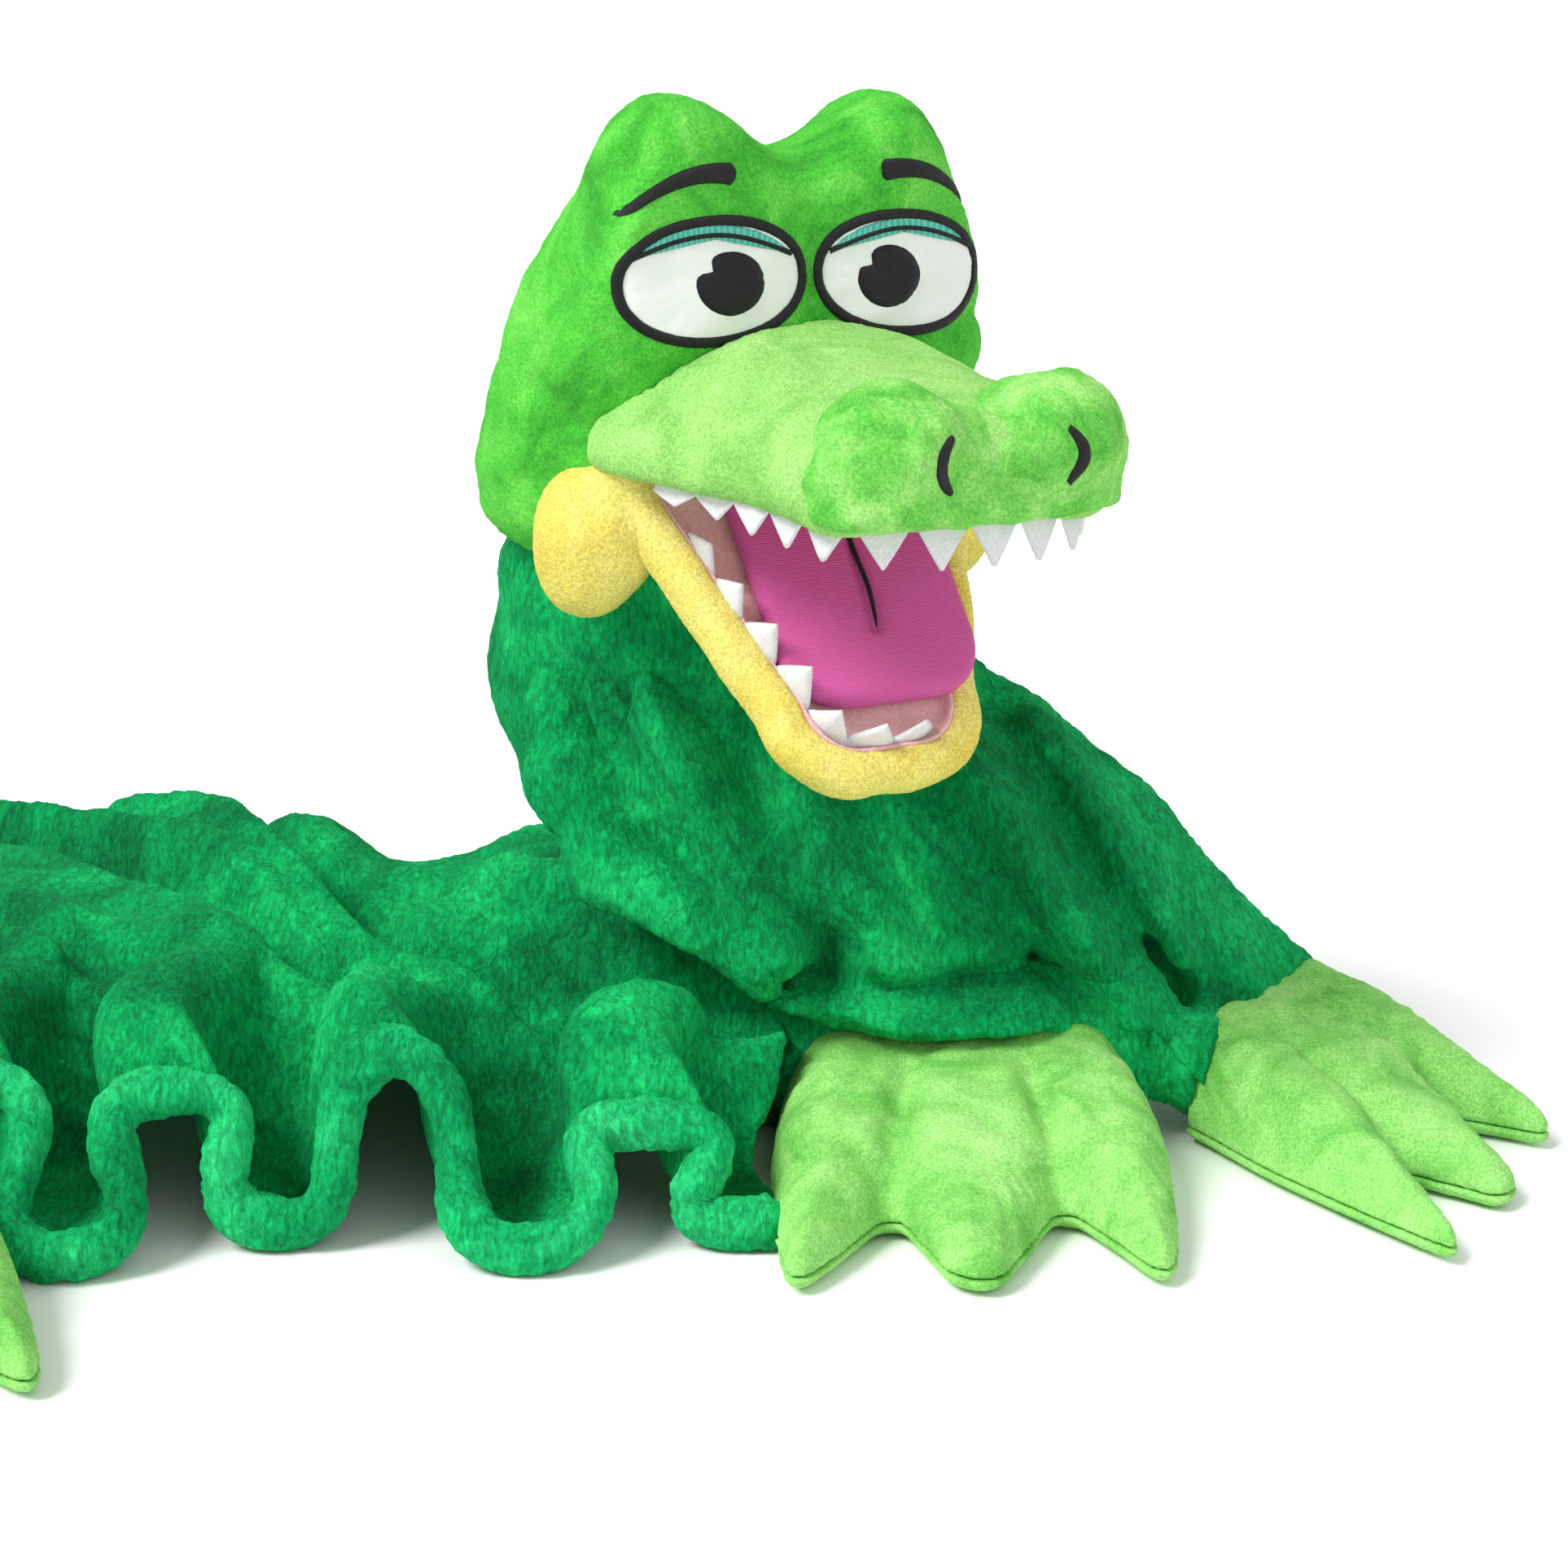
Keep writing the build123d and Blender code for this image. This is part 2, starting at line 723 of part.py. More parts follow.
def make_paws():
    for name, x, y, angle, *outline in PAWS:
        place = (x, y, angle)
        filling = paw_volume(place, outline, CLOTH, SOLE)
        with BuildPart() as cover:
            add(paw_volume(place, outline, 0, SOLE))
            add(filling, mode=Mode.SUBTRACT)
        write(cover.part, name + "_paw_top")
        write(filling, name + "_paw_stuffing")
        with BuildPart() as sole:
            with BuildSketch(paw_top(*place)):
                paw_outline(0, *outline)
            extrude(amount=SOLE)
        write(sole.part, name + "_paw_sole")


make_head_cover()
make_head_stuffing()
make_head_lining()
make_snout_cover()
make_snout_stuffing()
make_finger_pocket()
make_upper_layers()
make_upper_teeth()
make_nose_pad()
make_nostrils()
make_eyes()
make_cheeks()
make_mouth_fold()
make_jaw()
make_thumb_pocket()
make_tongue()
make_lower_teeth()
make_neck()
make_cloak()
make_arms()
make_blanket()
make_hem()
make_paws()
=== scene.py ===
import bpy
import numpy as np
from math import cos, pi, radians, sin
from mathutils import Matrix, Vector
from mathutils.bvhtree import BVHTree


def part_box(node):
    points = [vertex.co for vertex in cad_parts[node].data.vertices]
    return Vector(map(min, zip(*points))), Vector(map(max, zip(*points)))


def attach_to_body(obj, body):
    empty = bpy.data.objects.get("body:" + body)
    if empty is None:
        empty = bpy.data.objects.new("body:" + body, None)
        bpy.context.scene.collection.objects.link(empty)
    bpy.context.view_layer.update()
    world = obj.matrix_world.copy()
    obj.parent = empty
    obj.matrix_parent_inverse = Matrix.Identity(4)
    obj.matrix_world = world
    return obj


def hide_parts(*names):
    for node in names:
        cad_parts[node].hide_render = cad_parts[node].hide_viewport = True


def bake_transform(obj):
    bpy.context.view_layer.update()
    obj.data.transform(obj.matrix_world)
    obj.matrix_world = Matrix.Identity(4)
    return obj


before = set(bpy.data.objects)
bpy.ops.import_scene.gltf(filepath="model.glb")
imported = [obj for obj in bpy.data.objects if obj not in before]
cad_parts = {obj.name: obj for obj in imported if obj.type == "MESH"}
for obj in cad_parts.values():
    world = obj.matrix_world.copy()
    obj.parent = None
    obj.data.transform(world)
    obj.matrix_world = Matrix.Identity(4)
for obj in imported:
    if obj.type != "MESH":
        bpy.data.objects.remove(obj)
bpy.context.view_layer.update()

# ---- lengths are in millimetres until a mesh is made ----
MM = 0.001
FINE = 1.0      # multiplies the size of every voxel

HEAD = np.array([47.0, -10.0, 0.0])        # origin of the head frame
TURN = radians(31)                         # the head looks this far from -Y towards +X
S_DIR = np.array([cos(TURN), sin(TURN), 0.0])
B_DIR = np.array([-sin(TURN), cos(TURN), 0.0])
Z_DIR = np.array([0.0, 0.0, 1.0])
HINGE = HEAD - 45.0 * B_DIR + 272.0 * Z_DIR
OPEN = radians(54)                         # the lower jaw hangs open this far
J_DIR = -B_DIR * cos(OPEN) - Z_DIR * sin(OPEN)
N_DIR = Z_DIR * cos(OPEN) - B_DIR * sin(OPEN)


# ---- frames ----
def from_head(p):
    """Across, back and up in the head frame, to the row frame."""
    return HEAD + p[..., :1] * S_DIR + p[..., 1:2] * B_DIR + p[..., 2:3] * Z_DIR


def from_jaw(p):
    """Across, forward along the jaw and up off it, to the row frame."""
    return HINGE + p[..., :1] * S_DIR + p[..., 1:2] * J_DIR + p[..., 2:3] * N_DIR


def same(p):
    return p


# ---- distance fields ----
def smin(a, b, k):
    h = np.clip(0.5 + 0.5 * (b - a) / k, 0, 1)
    return b * (1 - h) + a * h - k * h * (1 - h)


def smax(a, b, k):
    return -smin(-a, -b, k)


def ellipsoid(x, y, z, centre, radii):
    q = [(v - c) / r for v, c, r in zip((x, y, z), centre, radii)]
    k = np.sqrt(sum(v * v for v in q)) + 1e-9
    g = np.sqrt(sum((v / r) ** 2 for v, r in zip(q, radii))) + 1e-9
    return k * (k - 1) / g


def chain(x, y, z, points, k=0.0):
    """Tapered round limb through points given as (x, y, z, radius)."""
    best = None
    for a, b in zip(points, points[1:]):
        ab = np.subtract(b[:3], a[:3])
        t = ((x - a[0]) * ab[0] + (y - a[1]) * ab[1] + (z - a[2]) * ab[2]) / ab.dot(ab)
        t = np.clip(t, 0, 1)
        gap = (x - a[0] - t * ab[0]) ** 2 + (y - a[1] - t * ab[1]) ** 2 + (z - a[2] - t * ab[2]) ** 2
        d = np.sqrt(gap) - (a[3] + t * (b[3] - a[3]))
        best = d if best is None else (smin(best, d, k) if k else np.minimum(best, d))
    return best


def wander(x, y, z, size, seed, waves=6):
    """Smooth bumps about `size` across, from -1 to 1, the same on every run."""
    rng = np.random.RandomState(seed)
    total = 0.0
    for _ in range(waves):
        way = rng.normal(size=3)
        way *= 2 * pi / size / np.linalg.norm(way) * rng.uniform(0.7, 1.4)
        total = total + np.sin(way[0] * x + way[1] * y + way[2] * z + rng.uniform(0, 2 * pi))
    return total / waves ** 0.5 / 1.5


def groove(d, width):
    """A narrow valley, 1 in the middle and 0 away from it."""
    return np.exp(-(d / width) ** 2)


# ---- meshes ----
CORNERS = np.array([(i, j, k) for i in (0, 1) for j in (0, 1) for k in (0, 1)])
EDGES = [(a, b) for a in range(8) for b in range(a + 1, 8) if abs(CORNERS[a] - CORNERS[b]).sum() == 1]


def skin(field, low, high, step):
    """Vertices and quads where the field crosses zero, one vertex in each cell that it crosses."""
    step = step * FINE
    axes = [np.arange(lo - 2 * step, hi + 2.5 * step, step) for lo, hi in zip(low, high)]
    x, y, z = np.meshgrid(*axes, indexing="ij", sparse=True)
    f = field(x, y, z) + np.zeros((len(axes[0]), len(axes[1]), len(axes[2])))
    for axis in range(3):
        for end in (0, -1):
            edge = [slice(None)] * 3
            edge[axis] = end
            f[tuple(edge)] = np.maximum(f[tuple(edge)], 0.1)
    inside = f < 0
    nx, ny, nz = (n - 1 for n in f.shape)
    count = sum(inside[i:i + nx, j:j + ny, k:k + nz].astype(int) for i, j, k in CORNERS)
    active = (count > 0) & (count < 8)
    index = np.full(active.shape, -1)
    index[active] = np.arange(active.sum())
    cells = np.argwhere(active)
    total = np.zeros((len(cells), 3))
    hits = np.zeros(len(cells))
    for a, b in EDGES:
        ca, cb = CORNERS[a], CORNERS[b]
        fa = f[tuple((cells + ca).T)]
        fb = f[tuple((cells + cb).T)]
        cross = (fa < 0) != (fb < 0)
        t = np.where(cross, fa / np.where(fa == fb, 1, fa - fb), 0)[:, None]
        total += np.where(cross[:, None], ca + t * (cb - ca), 0)
        hits += cross
    start = np.array([a[0] for a in axes])
    verts = start + step * (cells + total / hits[:, None])
    quads = []
    for axis in range(3):
        u, v = (axis + 1) % 3, (axis + 2) % 3
        upper = [slice(1, -1)] * 3
        lower = [slice(1, -1)] * 3
        lower[axis], upper[axis] = slice(0, -1), slice(1, None)
        change = np.argwhere(inside[tuple(lower)] != inside[tuple(upper)])
        base = change + np.array([0 if i == axis else 1 for i in range(3)])
        loop = []
        for du, dv in ((-1, -1), (0, -1), (0, 0), (-1, 0)):
            cell = base.copy()
            cell[:, u] += du
            cell[:, v] += dv
            loop.append(index[tuple(cell.T)])
        quad = np.stack(loop, 1)
        solid = inside[tuple(base.T)]
        quad[~solid] = quad[~solid][:, ::-1]
        quads.append(quad)
    return verts, np.concatenate(quads)


def make(name, verts, faces, material):
    """A smooth-shaded object from vertices in millimetres."""
    mesh = bpy.data.meshes.new(name)
    mesh.from_pydata((np.asarray(verts) * MM).tolist(), [], [list(map(int, f)) for f in faces])
    mesh.polygons.foreach_set("use_smooth", [True] * len(mesh.polygons))
    mesh.materials.append(material)
    mesh.validate()
    thing = bpy.data.objects.new(name, mesh)
    bpy.context.collection.objects.link(thing)
    return thing


def settle(thing):
    """Applies the modifiers."""
    graph = bpy.context.evaluated_depsgraph_get()
    mesh = bpy.data.meshes.new_from_object(thing.evaluated_get(graph))
    thing.modifiers.clear()
    old = thing.data
    thing.data = mesh
    bpy.data.meshes.remove(old)
    mesh.polygons.foreach_set("use_smooth", [True] * len(mesh.polygons))
    return thing


def soften(thing, times=4, factor=0.5):
    smooth = thing.modifiers.new("soften", "SMOOTH")
    smooth.iterations = times
    smooth.factor = factor


def nap(thing, size=3.0, height=0.8, levels=0):
    """Raised pile: fine bumps in the mesh itself."""
    if levels:
        finer = thing.modifiers.new("finer", "SUBSURF")
        finer.levels = finer.render_levels = levels
    clouds = bpy.data.textures.new(thing.name + "_nap", "CLOUDS")
    clouds.noise_scale = size * MM
    clouds.noise_depth = 2
    raised = thing.modifiers.new("nap", "DISPLACE")
    raised.texture = clouds
    raised.texture_coords = "LOCAL"
    raised.strength = height * MM
    raised.mid_level = 0.5


def sculpt(name, field, low, high, step, material, place=same, smooth=4, pile=(3.0, 0.8), levels=0):
    """A closed piece from a distance field, softened and given its pile."""
    verts, faces = skin(field, low, high, step)
    thing = make(name, place(verts), faces, material)
    if smooth:
        soften(thing, smooth)
    if pile:
        nap(thing, *pile, levels=levels)
    return settle(thing)


def attach(thing, body, slot, *nodes, fill=None):
    """Puts a piece on its body and in place of its CAD nodes, which it hides; slot and fill are not used."""
    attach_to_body(thing, body)
    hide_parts(*nodes)


# ---- materials ----
def put(node, values):
    """Sets inputs by name, with an underscore for each space."""
    for name, value in values.items():
        node.inputs[name.replace("_", " ")].default_value = value


def new_material(name, **values):
    """A material, its node tree and its shader, with the shader's own values set."""
    material = bpy.data.materials.new(name)
    material.use_nodes = True
    shader = material.node_tree.nodes["Principled BSDF"]
    put(shader, values)
    return material, material.node_tree, shader


def add(tree, kind, source, into="Vector", **values):
    """A new node fed from another node's output."""
    node = tree.nodes.new("ShaderNode" + kind)
    put(node, values)
    tree.links.new(source, node.inputs[into])
    return node


def ramp(tree, source, *stops):
    """Colours between stops of (position, colour)."""
    node = add(tree, "ValToRGB", source, "Fac")
    elements = node.color_ramp.elements
    for index, (position, colour) in ((0, stops[0]), (1, stops[-1])):
        elements[index].position = position
        elements[index].color = (*colour, 1)
    for position, colour in stops[1:-1]:
        elements.new(position).color = (*colour, 1)
    return node.outputs["Color"]


def multiply(tree, under, over, factor):
    """One colour multiplied by another."""
    node = tree.nodes.new("ShaderNodeMix")
    node.data_type = "RGBA"
    node.blend_type = "MULTIPLY"
    node.inputs["Factor"].default_value = factor
    tree.links.new(under, node.inputs["A"])
    tree.links.new(over, node.inputs["B"])
    return node.outputs["Result"]


def raise_pile(tree, shader, height, strength, distance):
    """Bump for grain finer than the mesh."""
    bump = add(tree, "Bump", height, "Height", Strength=strength, Distance=distance)
    tree.links.new(bump.outputs["Normal"], shader.inputs["Normal"])


def grey(value):
    return (value,) * 3


def own_place(tree):
    """The coordinates that go with the object."""
    return tree.nodes.new("ShaderNodeTexCoord").outputs["Object"]


def plush(name, deep, main, light, fibre=900.0, patch=28.0, grain=(1, 1, 1), bump=0.5, sheen=0.5,
          tint=None, comb=0.0):
    """Short pile: patches where the nap lies over, coloured lighter and darker as painted sheen and shade,
    streaks of fibre, and sheen at grazing angles.
    """
    material, tree, shader = new_material(
        name, Roughness=0.95, Sheen_Weight=sheen, Sheen_Roughness=0.45, Sheen_Tint=(*(tint or light), 1),
        Specular_IOR_Level=0.15)
    place = own_place(tree)
    stretched = add(tree, "Mapping", place, Scale=grain).outputs["Vector"]
    patches = add(tree, "TexNoise", place, Scale=patch, Detail=4, Roughness=0.6, Distortion=0.8)
    height = add(tree, "TexNoise", stretched, Scale=fibre, Detail=3, Roughness=0.65).outputs["Fac"]
    # the patches of nap are the cloth's own; their lighter and darker colours are painted sheen and shade
    broad = ramp(tree, patches.outputs["Fac"], (0.34, deep), (0.5, main), (0.68, light))
    tips = ramp(tree, height, (0.36, grey(0.62)), (0.64, grey(1.18)))
    colour = multiply(tree, broad, tips, 0.75)
    if comb:
        # locks of pile about 4 mm long, with painted shade between them and painted light at their tips
        locks = add(tree, "TexNoise", stretched, Scale=comb, Detail=5, Roughness=0.62, Distortion=1.6)
        height = locks.outputs["Fac"]
        shade = ramp(tree, height, (0.38, grey(0.5)), (0.62, grey(1.25)))
        colour = multiply(tree, colour, shade, 0.7)
    tree.links.new(colour, shader.inputs["Base Color"])
    raise_pile(tree, shader, height, bump, 0.0025 if comb else 0.0012)
    return material


def felt(name, main, shade, scale=1400.0, bump=0.25):
    """Matted fibre with faint mottling."""
    material, tree, shader = new_material(name, Roughness=0.9, Sheen_Weight=0.25)
    fuzz = add(tree, "TexNoise", own_place(tree), Scale=scale, Detail=5).outputs["Fac"]
    tree.links.new(ramp(tree, fuzz, (0.35, shade), (0.6, main)), shader.inputs["Base Color"])
    raise_pile(tree, shader, fuzz, bump, 0.0006)
    return material


def stitched(name, dark, light, scale, axis="X", turn=0.0, bump=0.6, gloss=0.5):
    """Rows of thread laid side by side, as in satin stitch or a knitted rib."""
    material, tree, shader = new_material(name, Roughness=gloss, Sheen_Weight=0.05, Specular_IOR_Level=0.25)
    turned = add(tree, "Mapping", own_place(tree), Rotation=(0, 0, turn)).outputs["Vector"]
    wave = add(tree, "TexWave", turned, Scale=scale, Distortion=1.2, Detail=2, Detail_Scale=1.5)
    wave.bands_direction = axis
    rows = wave.outputs["Fac"]
    tree.links.new(ramp(tree, rows, (0, dark), (1, light)), shader.inputs["Base Color"])
    raise_pile(tree, shader, rows, bump, 0.0005)
    return material


HEAD_PLUSH = plush("head_plush_cloth", (0.035, 0.32, 0.025), (0.075, 0.5, 0.045), (0.16, 0.62, 0.085),
                   sheen=0.25)
SNOUT_PLUSH = plush("snout_plush_cloth", (0.2, 0.5, 0.1), (0.29, 0.62, 0.15), (0.37, 0.69, 0.2), sheen=0.25)
NOSE_PLUSH = plush("nose_plush_cloth", (0.085, 0.45, 0.05), (0.19, 0.6, 0.1), (0.34, 0.71, 0.19), patch=45,
                   sheen=0.25)
PAW_PLUSH = plush("paw_plush_cloth", (0.15, 0.5, 0.085), (0.26, 0.66, 0.15), (0.37, 0.75, 0.22), patch=32,
                  sheen=0.25)
LONG_PILE = dict(fibre=420, bump=0.8, tint=(0.02, 0.8, 0.25), comb=170, grain=(1.5, 1, 0.6))
FLEECE = plush("cloak_fleece_cloth", (0.0, 0.16, 0.04), (0.0, 0.33, 0.085), (0.01, 0.52, 0.14),
               patch=16, sheen=0.3, **LONG_PILE)
# the hem roll is the cloak's own fleece in lighter colours: painted light on the turned-up edge
LIT_HEM_FLEECE = plush("hem_fleece_painted_light_cloth", (0.0, 0.24, 0.065), (0.005, 0.43, 0.125), (0.03, 0.6, 0.2),
                   patch=20, sheen=0.35, **LONG_PILE)
YELLOW = plush("yellow_plush_cloth", (0.72, 0.58, 0.1), (0.8, 0.68, 0.16), (0.84, 0.73, 0.22), sheen=0.2)
WHITE_FELT = felt("white_felt_cloth", (0.72, 0.72, 0.73), (0.6, 0.6, 0.62))
EYE_FELT = felt("eye_felt_cloth", (0.82, 0.82, 0.82), (0.76, 0.76, 0.77), scale=2200, bump=0.12)
MOUTH_SATIN = felt("mouth_satin_cloth", (0.78, 0.47, 0.47), (0.68, 0.37, 0.38), scale=700)
TONGUE_KNIT = stitched("tongue_knit_cloth", (0.52, 0.075, 0.27), (0.66, 0.12, 0.38), 420, axis="Z",
                       bump=0.4, gloss=0.85)
BLACK_THREAD = stitched("black_satin_stitch", (0.002, 0.002, 0.002), (0.015, 0.015, 0.017), 500, gloss=0.55)
LID_THREAD = stitched("lid_satin_stitch", (0.05, 0.36, 0.3), (0.12, 0.55, 0.44), 260, turn=TURN, gloss=0.5)
LINING_CLOTH = felt("lining_weave", (0.06, 0.3, 0.1), (0.03, 0.2, 0.06), scale=1800)
BOARD = felt("mouth_board_card", (0.55, 0.5, 0.44), (0.45, 0.41, 0.36), scale=900)


# ---- head ----
def lobe_height(s):
    """The top of the head: two round humps with a dip between them."""
    out = np.abs(s)
    hump = 17 * np.exp(-((out - 44) / 21.0) ** 2)
    return 385 + hump - np.where(out > 50, ((out - 50) / 26.0) ** 2 * 24, 0)


def skull_field(s, b, z):
    levels = [222, 232, 246, 266, 290, 315, 340, 365, 390, 405]
    wide = np.interp(z, levels, [74, 88, 95, 98, 96, 94, 92, 88, 80, 72])
    middle = np.interp(z, levels, [18, 18, 18, 16, 9, 1, -7, -17, -25, -27])
    deep = np.interp(z, levels, [48, 56, 62, 66, 61, 55, 47, 36, 24, 18])
    ahead = np.clip(0.5 - (b - middle) / 12.0, 0, 1)
    n = 2.2 + (4.2 - 2.2) * ahead * np.clip((z - 285) / 30.0, 0, 1) + 0.4 * ahead
    reach = ((np.abs(s) / wide) ** n + (np.abs(b - middle) / deep) ** n) ** (1 / n)
    side = (reach - 1) * np.minimum(wide, deep)
    body = smax(side, z - lobe_height(s), 22)
    body = smax(body, 226 - z, 26)
    for hand in (-1, 1):
        body = smin(body, ellipsoid(s, b, z, (hand * 45, -26, 374), (27, 24, 28)), 14)
    # flat front for the eyes, and the soft dent below the brow ridge
    body = body + 1.2 * groove(s, 18) * np.clip((z - 350) / 30, 0, 1)
    # creases that run to the mouth corners
    for hand in (-1, 1):
        crease = chain(s, b, z, [(hand * 94, -10, 300, 0), (hand * 88, -40, 283, 0),
                                 (hand * 76, -52, 278, 0)])
        body = body + 4.0 * groove(crease, 6)
        upper = chain(s, b, z, [(hand * 88, -14, 338, 0), (hand * 84, -40, 318, 0)])
        body = body + 2.5 * groove(upper, 6)
        lower = chain(s, b, z, [(hand * 96, 0, 262, 0), (hand * 90, -34, 262, 0)])
        body = body + 3.0 * groove(lower, 6)
    # seam over the crown and down the back
    body = body + 2.2 * groove(s, 2.2) * (b > -20)
    return body + 1.1 * wander(s, b, z, 42, 3) + 0.5 * wander(s, b, z, 17, 4)


def make_head():
    head = sculpt("head_skin", skull_field, (-104, -62, 218), (104, 90, 410), 2.4, HEAD_PLUSH,
                  from_head, smooth=5, pile=(3.2, 1.0), levels=1)
    attach(head, "head", "head_plush", "head_cover", "head_stuffing", fill=0.5)
    return head


def snout_field(s, b, z):
    wide = np.interp(b, [-178, -165, -150, -110, -80, -46], [50, 55, 58, 60, 68, 82])
    top = np.interp(b, [-178, -150, -110, -75, -46], [296, 304, 311, 319, 324])
    low = np.interp(b, [-178, -150, -100, -60, -46], [267, 268, 272, 275, 276])
    high = top - low
    n = np.interp(b, [-130, -105, -75, -50], [2.6, 2.4, 2.0, 1.75])
    reach = ((np.abs(s) / wide) ** n + (np.maximum(z - low - 4, 0) / (high - 4)) ** n) ** (1 / n)
    body = smax((reach - 1) * high - 7 * np.clip((292 - z) / 14, 0, 1), low - 7 - z, 5)
    front = np.sqrt(np.maximum(np.abs(s) - 30, 0) ** 2 + np.minimum(b + 146,
                                                                    0) ** 2) - 34 - np.maximum(wide - 58, 0)
    body = smax(body, front, 14)
    # soft folds running forward and down from the bridge
    for i in range(5):
        fold = chain(s, b, z, [(-20 - 9 * i, -64 - 3 * i, 322, 0),
                               (-44 - 3 * i, -112 - 6 * i, 296 - 5 * i, 0)])
        body = body + 1.5 * groove(fold, 3.6) - 0.8 * groove(np.abs(fold - 6), 4)
    return body + 0.8 * wander(s, b, z, 30, 8)


def snout_cover_field(s, b, z):
    body = snout_field(s, b, z)
    cavity = np.maximum(snout_field(s, b, np.clip(z, 286, 400)) + 7, z - 274)
    body = smax(body, -cavity, 3)
    return np.maximum(body, -(skull_field(s, b, z) + 0.6))


def nose_field(s, b, z):
    body = smax(snout_field(s, b, z) - 2.2, b + 148 + 3 * np.cos(s / 9.0), 5)
    for hand in (-1, 1):
        body = smin(body, ellipsoid(s, b, z, (hand * 34, -160, 292), (24, 22, 21)), 12)
    body = body + 2.5 * groove(s, 9) * (z > 285)
    body = smax(body, 263 - z, 6)
    return body + 1.0 * wander(s, b, z, 22, 12) + 0.4 * wander(s, b, z, 9, 13)


def make_snout():
    snout = sculpt("snout_skin", snout_cover_field, (-86, -184, 262), (86, -40, 328), 2.0, SNOUT_PLUSH,
                   from_head, smooth=3, pile=(2.6, 0.8), levels=1)
    attach(snout, "head", "snout_plush", "snout_cover", "snout_stuffing", fill=0.5)
    nose = sculpt("nose_skin", nose_field, (-64, -190, 262), (64, -140, 320), 1.8, NOSE_PLUSH,
                  from_head, smooth=3, pile=(2.6, 0.9), levels=1)
    attach(nose, "head", "snout_plush", "nose_pad", fill=0.5)
    return nose


# ---- lower jaw ----
def jaw_plan(s, j, grow=0.0):
    """Distance to the jaw's outline in its own plane: wide at the hinge, round at the tip."""
    out = np.maximum(np.abs(s) - 12, 0)
    t = np.clip(j / 100.0, 0, 1)
    ahead = np.where(j < 0, 0, j - 100 * t)
    return np.sqrt(out ** 2 + ahead ** 2) - (68 - 34 * t) - grow


def slab(plan, n, low, high, r):
    a = plan + r
    b = np.abs(n - (low + high) / 2) - (high - low) / 2 + r
    return np.sqrt(np.maximum(a, 0) ** 2 + np.maximum(b, 0) ** 2) + np.minimum(np.maximum(a, b), 0) - r


RIM = 14.0               # width of the yellow rim
TRAY = -9.0              # floor of the mouth, below the jaw plane


def jaw_field(s, j, n):
    body = slab(jaw_plan(s, j), n, -22, -1, 9)
    body = body + 0.8 * wander(s, j, n, 26, 21)
    tray = slab(jaw_plan(s, j, -RIM), n, TRAY, 40, 4)
    return np.maximum(smax(body, -tray, 3), -3 - j)


def jaw_lining_field(s, j, n):
    bowl = slab(jaw_plan(s, j, -RIM + 0.6), n, TRAY - 0.8, 40, 4)
    room = slab(jaw_plan(s, j, -RIM - 1.4), n, TRAY + 0.8, 40, 4)
    return np.maximum(np.maximum(np.maximum(bowl, -room), n + 2.5), -6 - j)


def make_jaw():
    jaw = sculpt("jaw_skin", jaw_field, (-84, -6, -26), (84, 138, 4), 2.0, YELLOW,
                 from_jaw, smooth=4, pile=(2.6, 0.7), levels=1)
    attach(jaw, "jaw", "jaw_plush", "jaw_cover", "jaw_stuffing", fill=0.5)
    lining = sculpt("lower_lining", jaw_lining_field, (-70, -8, -14), (70, 124, 0), 1.2, MOUTH_SATIN,
                    from_jaw, smooth=2, pile=(9, 0.8))
    attach(lining, "jaw", "mouth_satin", "lower_mouth_lining")


def tongue_field(s, j, n):
    out = np.maximum(np.abs(s - 7) - 18, 0)
    plan = np.sqrt(out ** 2 + np.maximum(j - 78, 0) ** 2) - 25
    body = slab(plan, n, TRAY + 1, TRAY + 11 + 3 * np.cos((s - 7) / 22.0), 5)
    seam = np.abs(s - 7 + 0.004 * (j - 50) ** 2 * np.sign(j - 50))
    body = body + 3.0 * groove(seam, 3) * (j > 30) * (j < 78)
    return np.maximum(smax(body, (n + 2 - 0.12 * j), 2), 14 - j)


ROOF = sum(corner[2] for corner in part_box("upper_mouth_lining")) / 2 / MM


def upper_lining_field(s, b, z):
    wide = np.interp(b, [-178, -150, -110, -80, -46], [40, 48, 50, 58, 70])
    return smax(np.maximum(np.abs(s) - wide, np.abs(z - ROOF) - 1.2), np.maximum(b + 56, -172 - b), 2)


def make_upper_lining():
    roof = sculpt("upper_lining", upper_lining_field, (-74, -176, ROOF - 4), (74, -42, ROOF + 4), 1.2,
                  MOUTH_SATIN,
                  from_head, smooth=2, pile=(9, 0.6))
    attach(roof, "head", "mouth_satin", "upper_mouth_lining")
    board = sculpt("upper_board", lambda s, b, z: upper_lining_field(s, b, z - 2.8), (-74, -176, ROOF - 1),
                   (74, -42, ROOF + 7), 1.2, BOARD, from_head, smooth=1, pile=None)
    attach(board, "head", "mouth_board", "upper_mouth_board")


def make_tongue():
    tongue = sculpt("tongue_pad", tongue_field, (-42, 0, -10), (56, 108, 8), 1.5, TONGUE_KNIT,
                    from_jaw, smooth=3, pile=None)
    attach(tongue, "jaw", "tongue_knit", "tongue", fill=0.4)
    j = np.linspace(32, 76, 40)
    seam = np.stack([7 - 0.004 * (j - 50) ** 2 * np.sign(j - 50), j,
                     np.minimum(TRAY + 14.2, 0.12 * j - 1.9)], 1)
    stitch = hem_tube("tongue_seam_stitch", from_jaw(seam), 0.9, 0.9, BLACK_THREAD, floor=None)
    attach(stitch, "jaw", "black_thread", "tongue_stitch")


